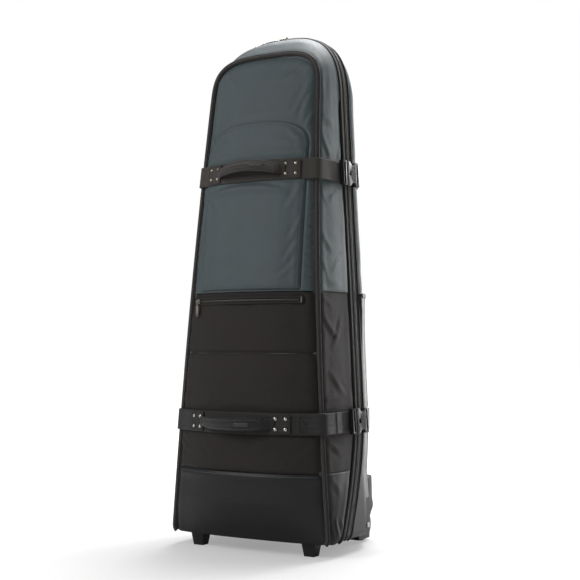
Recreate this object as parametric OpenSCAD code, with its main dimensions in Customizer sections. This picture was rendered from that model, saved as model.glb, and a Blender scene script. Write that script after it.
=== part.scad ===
// Wheeled golf travel case standing on two wheels and two feet.
// Millimetres. +Z is up, the front faces -Y, and the origin is on the floor under the middle.

/* [Body] */
// Height of the main zipper's arch above the floor
case_h = 1260; // [1230:5:1290]
// Half of the body's width, carried down to floor level
half_w = 217.5; // [212:0.5:223]
// Loss of half width for each millimetre of height
taper = 0.0745; // [0.070:0.0005:0.078]
// Height of the body's underside above the floor
base_z = 30; // [28:1:34]
// Front welt's place at floor level, in front of the origin
front_y0 = -111; // [-116:1:-106]
// How far the front welt leans back at a height of one metre
front_lean = 58; // [50:1:64]
// Outer face of the back wall
back_y = 170; // [168:1:174]
// Height of the seam between the upper and lower halves
split_z = 612; // [600:2:624]
// Top edge of the coated skid panel
skid_z = 192; // [184:2:200]

/* [Main zipper] */
// Depth of the zipper's centre line on the upper body
zip_back = 74; // [70:1:76]
// How far the zipper sweeps forward at the bottom
zip_sweep = 96; // [88:1:100]
// Half of the tape's width
tape_half = 22; // [20:0.5:23]

/* [Straps and handles] */
// Height of the upper strap's centre
upper_z = 903; // [890:5:920]
// Height of the lower strap's centre
lower_z = 306; // [300:1:312]
// Width of the webbing
web_w = 50; // [48:1:52]
// Length of a grip between its ends
grip_len = 168; // [160:2:176]
// How far the grip's middle stands out from its ends
grip_bow = 23; // [18:1:24]

/* [Wheels and feet] */
// Radius of a wheel
wheel_r = 40; // [39:0.5:41]
// Width of a wheel
wheel_w = 24; // [22:1:24]
// Distance of a wheel's middle from the centre line
wheel_x = 160; // [158:1:161]
// Wheel axle's place behind the origin
wheel_y = 162; // [160:0.5:164]
// Distance of a foot from the centre line
foot_x = 155; // [150:1:160]

/* [Hidden] */
$fn = 48;

slate = [0.27, 0.32, 0.34];
black = [0.12, 0.11, 0.11];
trim = [0.2, 0.18, 0.16];
silver = [0.75, 0.74, 0.7];

gap = 0.3;            // clearance between sewn neighbours
skin_t = 5;           // padded fabric wall
side_bulge = 10;      // how far the side walls stand outside the front welt
edge_r = 18;          // rounding of the bottom edge
taper_curve = 13.5;   // slight waist of the sides, at a height of one metre
bulge_power = 2.5;    // 2 is a parabola across the front, more is a flatter, fuller front
piping_r = 4.5;
welt_r = 3.2;
piping_in = piping_r + 1.9; // from a ring's outline to the edge of the front panels
coil_w = 5;
rim_start_z = 440;    // the boot begins to flare here, towards its top rim
pocket_zip_z = 592;
pocket_half_w = 140;

// Heights of the rows of every side wall, closer together where the zipper sweeps forward
ROWS = [36, 41, 48, 70, 95, 120, 145, 170, 195, 222, 252, 285, 320, 360, 405, 440, 475, 510, 545, 580,
        680, 760, 840, 920, 1000, 1050];

// Depth of the front's bulge in front of the welt, by height
BULGE = [[30, 14], [70, 32], [120, 46], [200, 54], [305, 56], [400, 54], [612, 45], [760, 41], [905, 36],
         [1050, 27], [1130, 15], [1200, 0]];

// A ring is a front-view outline: [extra half width, top height, spring height of the arch, arch power]
piping_top = case_h - 60;
FRONT_RING = [0, piping_top, 1095, 3.5];
MID_RING = [side_bulge, case_h - 20, 1088, 3.2];
ZIP_RING = [side_bulge, case_h, 1085, 3];

// ---------- outline functions ----------
function mix(a, b, t) = a + (b - a) * t;
function edge_in(z) =
  z < base_z + edge_r ? edge_r - sqrt(max(0, pow(edge_r, 2) - pow(base_z + edge_r - z, 2))) : 0;
function side_w(z) = half_w - taper * z + taper_curve * pow(z / 1000, 2) - edge_in(z);
function front_y(z) = front_y0 + front_lean * pow(z / 1000, 2);
function zip_y(z) =
  zip_back - 20 * pow(max(0, 650 - z) / 650, 1.3) - zip_sweep * pow(max(0, 340 - z) / 307, 1.7);
function ring_in(ring, t) = [ring[0] - t, ring[1] - t, ring[2], ring[3]];

// Heights from lo to hi; all walls and cords have their rows at the same heights, so they stay clear
function side_heights(lo, hi) = concat([lo], [for (z = ROWS) if (z > lo + 2 && z < hi - 2) z], [hi]);
function side_pts(ring, heights) = [for (z = heights) [side_w(z) + ring[0], z]];
function arch_pt(ring, a) =
  let (z = ring[2] + (ring[1] - ring[2]) * pow(sin(a), 2 / ring[3]))
  [(side_w(z) + ring[0]) * pow(cos(a), 2 / ring[3]), z];
function arch_pts(ring) = [for (a = [6:7:83]) arch_pt(ring, a)];
function mirrored(pts) = [for (i = [len(pts) - 1:-1:0]) [-pts[i][0], pts[i][1]]];
// Right side, arch and left side as one open line of [x, z] points that starts at height lo
function rail(ring, lo) =
  let (half = concat(side_pts(ring, side_heights(lo, ring[2])), arch_pts(ring)))
  concat(half, [[0, ring[1]]], mirrored(half));

// Half width of a ring at height z, arch included
function ring_w(ring, z) =
  let (t = max(0, z - ring[2]) / (ring[1] - ring[2]))
  (side_w(z) + ring[0]) * pow(max(0, 1 - pow(t, ring[3])), 1 / ring[3]);

// Outer face of the front at [x, z]
function front_face(x, z) =
  front_y(z) - lookup(z, BULGE) * (1 - pow(min(1, abs(x) / ring_w(FRONT_RING, z)), bulge_power));
// Angle by which the front's face turns away from -Y at [x, z], in degrees
function front_turn(x, z) = atan((front_face(x + 2, z) - front_face(x - 2, z)) / 4);

// ---------- solids from sections ----------
// Closed solid through a list of sections, each a loop with the same even number of points.
// The first half of a loop faces its second half, so each end is closed by a ladder of triangles.
module skin(sections) {
  n = len(sections[0]);
  top = (len(sections) - 1) * n;
  sides = [for (j = [0:n:top - 1], i = [0:n - 1])
    let (a = j + i, b = j + (i + 1) % n)
    each [[a, a + n, b], [b, a + n, b + n]]];
  ends = [for (i = [0:n / 2 - 2])
    let (j = n - 2 - i)
    each [[i, i + 1, j], [i, j, j + 1], [top + i, top + j, top + i + 1], [top + i, top + j + 1, top + j]]];
  polyhedron([for (s = sections) each s], concat(sides, ends));
}

// Strip along rails: outer and inner are equally long lists of lines of 3-D points, from front to back
module strip(outer, inner) {
  count = len(outer) - 1;
  skin([for (i = [0:len(outer[0]) - 1])
    concat([for (k = [0:count]) outer[k][i]], [for (k = [count:-1:0]) inner[k][i]])]);
}

function at_zip(line, shift) = [for (p = line) [p[0], zip_y(p[1]) + shift, p[1]]];
function at_front(line, shift) = [for (p = line) [p[0], front_y(p[1]) + shift, p[1]]];
function halfway(line) = [for (p = line) [p[0], mix(front_y(p[1]), zip_y(p[1]) - tape_half, 0.45), p[1]]];

// Round cord of radius r along a line of 3-D points that runs round the case
module cord(line, r) {
  last = len(line) - 1;
  skin([for (i = [0:last])
    let (d = line[min(last, i + 1)] - line[max(0, i - 1)], n = [d[2], 0, -d[0]] / norm([d[0], d[2]]))
    [for (a = [0:45:315]) line[i] + r * (cos(a) * n + sin(a) * [0, 1, 0])]]);
}

// Band of webbing between four lines of 3-D points, the edges of its outer face and of its inner face
module band(outer_lo, outer_hi, inner_lo, inner_hi) {
  skin([for (i = [0:len(outer_lo) - 1]) [outer_lo[i], outer_hi[i], inner_hi[i], inner_lo[i]]]);
}

module both_sides() {
  children();
  mirror([1, 0, 0]) children();
}

// ---------- lid: front panels ----------
// Front panel with a row at each height, as wide as widths says, lifted off the front's face and t thick
module front_rows(heights, widths, lift, t) {
  cols = 16;
  skin([for (j = [0:len(heights) - 1])
    let (z = heights[j], w = widths[j])
    concat(
      [for (i = [0:cols]) let (x = mix(-w, w, i / cols)) [x, front_face(x, z) - lift - t, z]],
      [for (i = [cols:-1:0]) let (x = mix(-w, w, i / cols)) [x, front_face(x, z) - lift, z]])]);
}

module front_panel(lo, hi) {
  heights = [for (i = [0:8]) mix(lo, hi, i / 8)];
  front_rows(heights, [for (z = heights) side_w(z) - piping_in], -skin_t, skin_t);
}

module lid_panel_upper() color(slate) {
  ring = ring_in(FRONT_RING, piping_in);
  arch = [for (a = [8:7:85]) arch_pt(ring, a)];
  heights = concat([for (i = [0:10]) mix(split_z + gap, ring[2], i / 10)], [for (p = arch) p[1]]);
  widths = concat([for (i = [0:10]) side_w(heights[i]) + ring[0]], [for (p = arch) p[0]]);
  front_rows(heights, widths, -skin_t, skin_t);
}

// Pocket with an arched top, sewn on the upper front
module lid_pocket() color(slate) {
  spring = 950;
  rise = 75;
  arch = [for (a = [8:9:85]) [pocket_half_w * pow(cos(a), 2 / 3), spring + rise * pow(sin(a), 2 / 3)]];
  heights = concat([for (i = [0:8]) mix(split_z + 8, spring, i / 8)], [for (p = arch) p[1]]);
  widths = concat([for (i = [0:8]) pocket_half_w], [for (p = arch) p[0]]);
  front_rows(heights, widths, gap, 3.5);
}

module lid_panel_mid() color(black) front_panel(skid_z + gap, split_z - gap);
module lid_skid_panel() color([0.16, 0.16, 0.17]) front_panel(base_z + 4, skid_z - gap);

// Arc-shaped zipper tape of the front pocket, its outer face on one vertical cylinder
pocket_zip_half = 148;
pocket_zip_h = 15;
pocket_arc_mid = front_face(0, pocket_zip_z) - 3.2;
pocket_arc_end = front_face(pocket_zip_half, pocket_zip_z) - 3.2;
pocket_arc_drop = pocket_arc_end - pocket_arc_mid;
pocket_arc_r = (pow(pocket_zip_half, 2) + pow(pocket_arc_drop, 2)) / (2 * pocket_arc_drop);
function pocket_arc_y(x, out) =
  pocket_arc_mid + pocket_arc_r - sqrt(pow(pocket_arc_r + out, 2) - x * x);

function pocket_tape(x, z) = [[x, pocket_arc_y(x, 0), z], [x, front_face(x, z) - gap, z]];

module pocket_zip() color(trim) {
  lo = pocket_zip_z - pocket_zip_h / 2;
  hi = pocket_zip_z + pocket_zip_h / 2;
  skin([for (i = [0:16])
    let (x = mix(-pocket_zip_half, pocket_zip_half, i / 16), a = pocket_tape(x, lo), b = pocket_tape(x, hi))
    [a[0], b[0], b[1], a[1]]]);
  // coil
  coil_half = pocket_zip_half - 6;
  skin([for (i = [0:16])
    let (x = mix(-coil_half, coil_half, i / 16), near = pocket_arc_y(x, 0.1), far = pocket_arc_y(x, 1.9))
    [for (e = [[far, -2.5], [far, 2.5], [near, 2.5], [near, -2.5]]) [x, e[0], pocket_zip_z + e[1]]]]);
}

// ---------- lid: side walls, piping and zipper half ----------
zip_edge = tape_half + welt_r + 2 * gap;   // distance of a wall's edge from the zipper's centre line
front_edge = piping_r + gap;

module lid_gusset_upper() color(slate) {
  rings = [for (t = [0, skin_t], r = [FRONT_RING, MID_RING, ZIP_RING]) rail(ring_in(r, t), split_z + gap)];
  strip(
    [at_front(rings[0], front_edge), halfway(rings[1]), at_zip(rings[2], -zip_edge)],
    [at_front(rings[3], front_edge), halfway(rings[4]), at_zip(rings[5], -zip_edge)]);
}

// One pair of side walls from height lo to hi
module lid_side_walls(lo, hi) {
  heights = side_heights(lo, hi);
  rings = [for (t = [0, skin_t], r = [FRONT_RING, MID_RING, ZIP_RING]) side_pts(ring_in(r, t), heights)];
  both_sides() strip(
    [at_front(rings[0], front_edge), halfway(rings[1]), at_zip(rings[2], -zip_edge)],
    [at_front(rings[3], front_edge), halfway(rings[4]), at_zip(rings[5], -zip_edge)]);
}

module lid_gusset_mid() color(black) lid_side_walls(skid_z + gap, split_z - gap);
module lid_gusset_skid() color([0.16, 0.16, 0.17]) lid_side_walls(base_z + 2, skid_z - gap);

module front_piping() color(trim) cord(at_front(rail(ring_in(FRONT_RING, 1), base_z + 4), 0), piping_r);
module lid_welt() color(trim) cord(at_zip(rail(ring_in(ZIP_RING, 1), base_z + 2), -tape_half), welt_r);
module rear_welt() color(trim) cord(at_zip(rail(ring_in(ZIP_RING, 1), base_z + 2), tape_half), welt_r);

// Tape and coil of one half of the main zipper; dir is -1 for the lid and 1 for the case
module zip_half(dir) {
  lo = base_z + 2;
  tape_ring = ring_in(ZIP_RING, 0.5);
  near = dir * (coil_w + gap);
  far = dir * (tape_half - welt_r - gap);
  strip(
    [at_zip(rail(tape_ring, lo), near), at_zip(rail(tape_ring, lo), far)],
    [at_zip(rail(ring_in(tape_ring, 1.6), lo), near), at_zip(rail(ring_in(tape_ring, 1.6), lo), far)]);
  coil_near = dir * 0.25;
  coil_far = dir * coil_w;
  coil = [for (t = [-1.2, -0.4, 2.6, 2.2]) rail(ring_in(ZIP_RING, t), lo)];
  strip(
    [at_zip(coil[0], coil_near), at_zip(coil[1], coil_far)],
    [at_zip(coil[2], coil_near), at_zip(coil[3], coil_far)]);
}
module zip_tape_lid() color(trim) zip_half(-1);
module zip_tape_rear() color(trim) zip_half(1);

// ---------- rear half ----------
corner_start = back_y - 66;
// Ring of the rear wall at angle a round the back corner, inset by t
function rear_ring(a, t) =
  [side_bulge - 66 + (66 - t) * cos(a), case_h - 4 - 84 + (84 - t) * cos(a), 1085, 2.7];
function rear_line(a, t) =
  [for (p = rail(rear_ring(a, t), split_z + gap)) [p[0], corner_start + (66 - t) * sin(a), p[1]]];

module rear_gusset() color(slate) {
  angles = [0, 20, 40, 60, 75, 90];
  start = rail(ZIP_RING, split_z + gap);
  inner_start = rail(ring_in(ZIP_RING, skin_t), split_z + gap);
  strip(
    concat([at_zip(start, zip_edge)], [for (a = angles) rear_line(a, 0)]),
    concat([at_zip(inner_start, zip_edge)], [for (a = angles) rear_line(a, skin_t)]));
}

module back_panel() color(slate)
  translate([0, back_y, 0]) rotate([90, 0, 0]) linear_extrude(skin_t)
    polygon(rail(ring_in(rear_ring(90, 0), gap), split_z + gap));

// Moulded lower shell: side walls, rounded back corners and back wall
function boot_corner(z) = min(110, back_y - zip_y(z) - zip_edge - 4);
function boot_flare(z) = 7 * pow(max(0, z - rim_start_z) / (split_z - rim_start_z), 2);
function boot_line(z, t) =
  let (r = boot_corner(z), w = side_w(z) + side_bulge + boot_flare(z) - t, cy = back_y - r)
  concat([[w - 0.8 * boot_flare(z), zip_y(z) + zip_edge, z]],
    [for (a = [0:15:90]) [w + t - r + (r - t) * cos(a), cy + (r - t) * sin(a), z]]);
// Outside line and inside line, joined into one loop
function boot_section(z) =
  let (o = boot_line(z, 0), i = boot_line(z, 4), n = len(o) - 1)
  concat(
    o, [for (k = [n:-1:0]) [-o[k][0], o[k][1], z]],
    [for (k = [0:n]) [-i[k][0], i[k][1], z]], [for (k = [n:-1:0]) i[k]]);

module rear_boot() color([0.1, 0.1, 0.11]) difference() {
  skin([for (z = side_heights(base_z + 2, split_z - gap)) boot_section(z)]);
  both_sides() corner_notch(0);
}

// Stiffening board inside the back wall
module back_board() color([0.25, 0.25, 0.25])
  translate([0, back_y - skin_t - 1, 0]) rotate([90, 0, 0]) linear_extrude(3)
    polygon([[-110, 62], [110, 62], [94, 1120], [-94, 1120]]);

// Foam that guards the club heads, under the arch
module top_foam() color([0.3, 0.3, 0.3]) {
  arch_of = function (t) [for (a = [20:10:160])
    let (p = arch_pt(ring_in(rear_ring(0, 0), t), a < 90 ? a : 180 - a)) [a < 90 ? p[0] : -p[0], p[1]]];
  outer = arch_of(skin_t + 30);
  inner = arch_of(skin_t + 52);
  strip(
    [[for (p = outer) [p[0], 100, p[1]]], [for (p = outer) [p[0], 142, p[1]]]],
    [[for (p = inner) [p[0], 100, p[1]]], [for (p = inner) [p[0], 142, p[1]]]]);
}

// Inner compression straps, drawn flat across the back board, and their slide buckles
INNER_Z = [400, 840];
inner_y = back_y - skin_t - 4 - gap;
module inner_strap(z) color(black) {
  both_sides() translate([28, inner_y - 2, z - 19]) cube([72, 2, 38]);
}
module inner_buckles() color([0.05, 0.05, 0.05])
  for (z = INNER_Z) translate([0, inner_y - 3.5, z]) difference() {
    cube([55, 7, 46], center = true);
    both_sides() translate([20, 0, 0]) cube([5, 20, 39], center = true);
  }

// ---------- base ----------
tray_corner = 104;      // a little inside the boot's own back corners
tray_half = 209;
tray_side_y = -25;     // the tray is wide behind this line, and narrow between the lid's side walls
// Plan of the tray, inset all round: it follows the front panel and the boot
function tray_plan(inset) =
  let (
    front = 198 - inset,
    wide = tray_half - inset,
    nose = [for (i = [-8:8]) let (x = front * i / 8) [x, front_face(x, base_z + 2) + skin_t + 0.6 + inset]],
    back = [for (a = [0:15:90]) let (r = tray_corner - inset)
      [tray_half - tray_corner + r * cos(a), back_y - 6 - tray_corner + r * sin(a)]])
  concat(nose, [[front, tray_side_y + inset], [wide, tray_side_y + inset]], back, mirrored(back),
    [[-wide, tray_side_y + inset], [-front, tray_side_y + inset]]);

notch_x = 136;         // the boot and the tray leave their back corners to the wheel housings
notch_low_y = 52;      // the front of the notch leans back, from here at floor level
notch_y = 78;          // to here at its top
notch_z = 119;
module corner_notch(slack) along_x(notch_x - slack, 300)
  polygon([[notch_low_y - slack, -1], [notch_y - slack, notch_z], [300, notch_z], [300, -1]]);

FOOT_HOLES = [-9, 9];
foot_y = -82;
screw_r = 2.5;
module base_tray() color([0.09, 0.09, 0.09]) difference() {
  union() {
    translate([0, 0, base_z + 2]) linear_extrude(6) polygon(tray_plan(0));
    translate([0, 0, base_z + 7]) linear_extrude(20) difference() {
      polygon(tray_plan(2));
      polygon(tray_plan(6));
    }
    for (x = [-120:60:120]) translate([x - 2, -95, base_z + 7]) cube([4, 190, 6]);
  }
  both_sides() {
    corner_notch(2);
    for (dx = FOOT_HOLES) translate([foot_x + dx, foot_y, 0]) cylinder(h = 60, r = screw_r);
  }
}

// Tapered front foot with two blind screw holes in its top
module foot() color([0.08, 0.08, 0.08]) translate([foot_x, foot_y, 0]) difference() {
  hull() {
    translate([-13, -12, 0]) cube([26, 24, 1]);
    translate([-18, -16, base_z + 1]) cube([36, 32, 0.7]);
  }
  for (dx = FOOT_HOLES) translate([dx, 0, 10]) cylinder(h = 60, r = screw_r);
}

// Screws that hold the feet through the tray, driven from inside
module base_screws() color(silver)
  both_sides() for (dx = FOOT_HOLES) translate([foot_x + dx, foot_y, 0]) {
    translate([0, 0, 12]) cylinder(h = base_z + 8 - 12, r = screw_r - 0.1);
    translate([0, 0, base_z + 8]) cylinder(h = 2.4, r = 4.5);
  }

// ---------- wheels ----------
axle_r = 3.95;
wheel_z = wheel_r;
cheek_t = 4;
housing_in = wheel_x - wheel_w / 2 - 2 - cheek_t;
housing_out = wheel_x + wheel_w / 2 + 2 + cheek_t;
well_r = wheel_r + 3.5;
// Side profile of the housing and its kick plate, as [y, z]
HOUSING = [[114, 8], [172, 8], [174, 58], [181, 70], [191, 80], [193, 89], [187, 108], [186, 156], [180, 162],
           [173, 158], [150, 140], [140, 117], [114, 117]];
module along_x(x0, x1) translate([x0, 0, 0]) rotate([90, 0, 90]) linear_extrude(x1 - x0) children();

// Housing that fills the notched corner, with cheeks that carry the axle on both sides of the wheel
module wheel_housing() color([0.07, 0.07, 0.07]) {
  round_x = side_w(notch_z) + side_bulge - boot_corner(0);
  round_y = back_y - boot_corner(0);
  difference() {
    union() {
      along_x(housing_in, housing_out) polygon(HOUSING);
      intersection() {
        along_x(notch_x + 1, 240) polygon([[notch_low_y + 8, base_z + 2], [notch_y + 1, notch_z - 1],
          [152, notch_z - 1], [152, base_z + 2]]);
        linear_extrude(notch_z) polygon([[notch_x + 1, 40], [212, 40], [212, 84], [housing_out, 150],
          [notch_x + 1, 150]]);
        translate([round_x, round_y, 0]) cylinder(h = notch_z, r = boot_corner(0) - 0.5, $fn = 96);
      }
    }
    // well for the wheel, open below and behind
    along_x(housing_in + cheek_t, housing_out - cheek_t) {
      translate([wheel_y, wheel_z]) circle(well_r);
      polygon([[wheel_y - well_r, -1], [210, -1], [210, 62], [wheel_y, wheel_z],
        [wheel_y - well_r, wheel_z]]);
    }
    translate([housing_in - 3, wheel_y, wheel_z]) rotate([0, 90, 0]) cylinder(h = 60, r = axle_r + 0.1);
    // room beside the cheek for the bolt's head
    translate([housing_out, wheel_y, wheel_z]) rotate([0, 90, 0]) cylinder(h = 30, r = 8);
    // the kick plate follows the boot's round corner
    translate([round_x, round_y, notch_z]) cylinder(h = 60, r = boot_corner(0) + 2.5, $fn = 96);
  }
}

// Bolt through both cheeks and the bearings, with its round head outside
module axle() color(silver) translate([0, wheel_y, wheel_z]) rotate([0, 90, 0]) {
  translate([0, 0, housing_in - 2.5]) cylinder(h = housing_out - housing_in + 2.6, r = axle_r);
  translate([0, 0, housing_out + 0.1]) cylinder(h = 2.6, r = 6.5);
}

module on_wheel() translate([wheel_x, wheel_y, wheel_z]) rotate([0, 90, 0]) children();

hub_r = 25;
bearing_r = 11;
// Polyurethane tyre with a round tread
module tyre() color([0.45, 0.46, 0.46]) on_wheel() rotate_extrude($fn = 96) difference() {
  union() {
    translate([wheel_r - 12, 0]) circle(12);
    translate([hub_r, -9]) square([6, 18]);
    translate([hub_r, -11]) square([3, 22]);
  }
  translate([0, -20]) square([hub_r, 40]);
  translate([hub_r - 1, wheel_w / 2]) square([40, 10]);
  translate([hub_r - 1, -wheel_w / 2 - 10]) square([40, 10]);
}
module hub() color([0.5, 0.5, 0.51]) on_wheel() difference() {
  union() {
    rotate_extrude($fn = 96) {
      translate([bearing_r, -11]) square([3.5, 22]);
      translate([hub_r - 4, -9.5]) square([4 - 0.05, 19]);
      translate([bearing_r + 3, -3]) square([hub_r - bearing_r - 6, 6]);
    }
    translate([0, 0, -3.4]) difference() {
      cylinder(h = 6.8, r = bearing_r + 1);
      translate([0, 0, -1]) cylinder(h = 20, r = 6);
    }
  }
  for (a = [0:60:300]) rotate(a) translate([17.8, 0, -20]) cylinder(h = 40, r = 2.6);
}
// Two ball bearings, each side of the hub's inner flange
module bearings() color(silver) on_wheel() for (dir = [-1, 1])
  translate([0, 0, dir * 7.2 - 3.5]) difference() {
    cylinder(h = 7, r = bearing_r - 0.05);
    translate([0, 0, -1]) cylinder(h = 9, r = 4);
  }

// ---------- straps ----------
web_t = 2.2;
strap_lift = 4.6;      // the straps' inner face stands this far off the front
side_lift = 3.8;       // and this far off the side walls, clear of the welts
plug_len = 20;
socket_len = 60;
function plug_front(z) = z > split_z ? 17 : -4;

// Plan line of the front strap at height z, lifted off the surface by out
function front_web(z, out) =
  let (
    w = side_w(z),
    x_end = w + side_bulge + side_lift + out,
    half = [for (x = [0, 25, 50, 75, 100, 125]) if (x < w - 28) [x, front_face(x, z) - strap_lift - out]],
    corner = [[w - 14, front_face(w - 14, z) - 6 - out], [w + 2 + out / 2, front_y(z) - 9 - out / 2],
      [w + 9 + out, front_y(z) + 2]],
    side = [[mix(w + 9, w + side_bulge + side_lift, 0.8) + out, front_y(z) + 40],
      [x_end, plug_front(z) - 4], [x_end, plug_front(z) + plug_len - 1]],
    right = concat(half, corner, side))
  concat([for (i = [len(right) - 1:-1:1]) [-right[i][0], right[i][1], z]], [for (p = right) [p[0], p[1], z]]);

module front_strap(z) color(trim) {
  lo = z - web_w / 2;
  hi = z + web_w / 2;
  band(front_web(lo, web_t), front_web(hi, web_t), front_web(lo, 0), front_web(hi, 0));
}

// Plan line of the rear strap: straight from a socket to the round back corner, then across the back
function rear_web(z, out) =
  let (
    r = z > split_z ? 66 : boot_corner(z),
    cx = side_w(z) + side_bulge - r,
    cy = back_y - r,
    start = [cx + r + side_lift + 1.5 + out, plug_front(z) + plug_len + socket_len - 8],
    end = start + [0, 6],
    away = norm([end[0] - cx, end[1] - cy]),
    touch = atan2(end[1] - cy, end[0] - cx) + acos((r + 1.5 + out) / away),
    right = concat([start, end], [for (a = [0:7]) let (t = mix(touch, 88, a / 7))
      [cx + (r + 1 + out) * cos(t), cy + (r + 1 + out) * sin(t)]]))
  concat([for (p = right) [p[0], p[1], z]], [for (i = [len(right) - 1:-1:0]) [-right[i][0], right[i][1], z]]);

module rear_strap(z) color(trim) {
  lo = z - web_w / 2;
  hi = z + web_w / 2;
  band(rear_web(lo, web_t), rear_web(hi, web_t), rear_web(lo, 0), rear_web(hi, 0));
}

// ---------- side-release buckles ----------
buckle_t = 11;
buckle_w = 60;
// Places a buckle part drawn with its length along Y from 0, its width along Z and its back on x = 0
module at_buckle(z) translate([side_w(z) + side_bulge + side_lift + web_t + 1.6, plug_front(z), z])
  rotate([0, -atan(taper - 2 * taper_curve * z / 1e6), 0]) children();

// Female half with an hourglass outline, side windows, a square window and a slot for webbing
module socket() color([0.06, 0.06, 0.06]) translate([0, plug_len + 0.6, 0]) difference() {
  half = buckle_w / 2;
  outline = [[0, half], [14, half], [24, half - 9], [36, half - 9], [44, half], [socket_len, half]];
  along_x(0, buckle_t)
    polygon(concat(outline, [for (i = [len(outline) - 1:-1:0]) [outline[i][0], -outline[i][1]]]));
  // pocket for the prongs, and the windows through which they are pressed
  translate([2, -1, -23]) cube([7, 36, 46]);
  for (s = [-1, 1]) translate([2, 16, s * 24 - 8]) cube([7, 16, 16]);
  translate([6, 10, -5]) cube([10, 10, 10]);
  translate([-1, socket_len - 12, -26]) cube([20, 6, 52]);
}

// Male half: ladder end with a slot for webbing, two prongs and a guide
module plug() color([0.05, 0.05, 0.05]) {
  difference() {
    translate([0, 0, -buckle_w / 2]) cube([buckle_t - 1, plug_len, buckle_w]);
    translate([-1, 6, -26]) cube([20, 7, 52]);
  }
  for (s = [-1, 1]) translate([3, plug_len - 0.1, s * 17.5 - 4]) cube([5, 29, 8]);
  translate([3, plug_len - 0.1, -3]) cube([2.5, 30, 6]);
}

// Loop of spare webbing that stands off the lower strap, behind the front edge
module slack_loop() color(trim) {
  deep = 12.3;
  long = 30;
  translate([side_w(lower_z) + side_bulge + side_lift + web_t + 0.6, -66, lower_z])
    rotate([0, -atan(taper - 2 * taper_curve * lower_z / 1e6), 0])
    translate([0, 0, -web_w / 2]) linear_extrude(web_w) difference() {
      loop_plan(deep, long, deep / 2 - 1);
      translate([web_t, web_t]) loop_plan(deep - 2 * web_t, long - 2 * web_t, deep / 2 - 1 - web_t);
    }
}
// Rectangle with round corners, deep along X and long along Y
module loop_plan(deep, long, r) {
  translate([r, 0]) square([deep - 2 * r, long]);
  translate([0, r]) square([deep, long - 2 * r]);
  for (x = [r, deep - r], y = [r, long - r]) translate([x, y]) circle(r);
}

// ---------- patches, rivets and grips ----------
patch = 46;
PATCH_X = [108, 115];
rivet_pitch = 24;
// Drawn with x across, y up and z outward, on the front's face at [x, z]
module on_front(x, z, lift) translate([x, front_face(x, z) - lift, z])
  rotate([0, 0, front_turn(x, z)]) rotate([90 - atan(2 * front_lean * z / 1e6), 0, 0]) children();

patch_lift = strap_lift + web_t + 1.4;
patch_t = 2;
HANDLE_ROWS = [[PATCH_X[0], upper_z], [PATCH_X[1], lower_z]];
// Webbing tongue that rises from a patch to the end of its grip; s is the side
module grip_tongue(s, row) hull() {
  on_front(s * (row[0] - patch / 2 + 2.2), row[1], patch_lift + 0.5)
    translate([-2, -11, 0]) cube([4, 22, 2.5]);
  translate([s * (grip_len / 2 + 1), grip_y(row[1]), row[1]]) cube([1, 4, 20], center = true);
}
module handle_patches() color(trim) for (row = HANDLE_ROWS, s = [-1, 1]) {
  on_front(s * row[0], row[1], patch_lift)
    translate([-patch / 2, -patch / 2, 0]) cube([patch, patch, patch_t]);
  grip_tongue(s, row);
}

module rivets() color(silver) for (row = HANDLE_ROWS, s = [-1, 1], dx = [-1, 1], dz = [-1, 1])
  on_front(s * row[0], row[1], patch_lift)
    translate([dx * rivet_pitch / 2, dz * rivet_pitch / 2, patch_t + 0.1])
    cylinder(h = 1.9, r1 = 4.6, r2 = 3.2);

// Padded grip: an arc between two ends, bowed outward, that swings about the line through its ends
grip_stand = 5;        // distance of the ends' line from the middle of the strap
grip_wide = 30;
grip_thick = 12;
function grip_y(z) = front_face(0, z) - strap_lift - web_t - grip_stand;
module front_grip(z, tilt) color(trim) translate([0, grip_y(z), z]) rotate([-tilt, 0, 0])
  skin([for (i = [-7:7])
    let (t = i / 7, slim = 1 - 0.18 * pow(abs(t), 4), out = grip_bow * (1 - t * t))
    [for (a = [0:30:330])
      [t * grip_len / 2, -out + grip_thick / 2 * sin(a) * slim, grip_wide / 2 * cos(a) * slim]]]);

// ---------- sliders and pulls ----------
pull_t = 2.2;
pin_r = 1;
pivot_up = 5.6;        // height of the pin above the coil
slider_gap = 1;        // clearance between a slider and its coil
// Slider over the coil, drawn with travel along x and the coil's top at z = 0.
// Its two posts stand side by side along the pin, which lies turn degrees from the y axis.
module slider_body(len, wide, turn) difference() {
  union() {
    translate([-len / 2, -wide / 2, slider_gap]) cube([len, wide, 2.2]);
    rotate([0, 0, turn]) for (s = [-1, 1])
      translate([-2.5, s * 2.8 - 1, slider_gap + 2]) cube([5, 2, pivot_up - slider_gap]);
  }
  rotate([0, 0, turn]) translate([0, 0, pivot_up]) rotate([90, 0, 0])
    cylinder(h = 10, r = pin_r + 0.05, center = true);
}
// Pull tab from its pin at the origin along +x, with an eye at its end
module pull_tab(len, wide, eye_r) difference() {
  union() {
    translate([0, -1.5, -pull_t / 2]) cube([len * 0.35, 3, pull_t]);
    translate([len * 0.28, -wide / 2, -pull_t / 2]) cube([len * 0.72 - wide / 2, wide, pull_t]);
    translate([len - wide / 2, 0, -pull_t / 2]) cylinder(h = pull_t, r = wide / 2);
    rotate([90, 0, 0]) cylinder(h = 3, r = 1.4, center = true);
    rotate([90, 0, 0]) cylinder(h = 8.2, r = pin_r, center = true);
  }
  translate([len - wide / 2, 0, -5]) cylinder(h = 10, r = eye_r);
}

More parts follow.
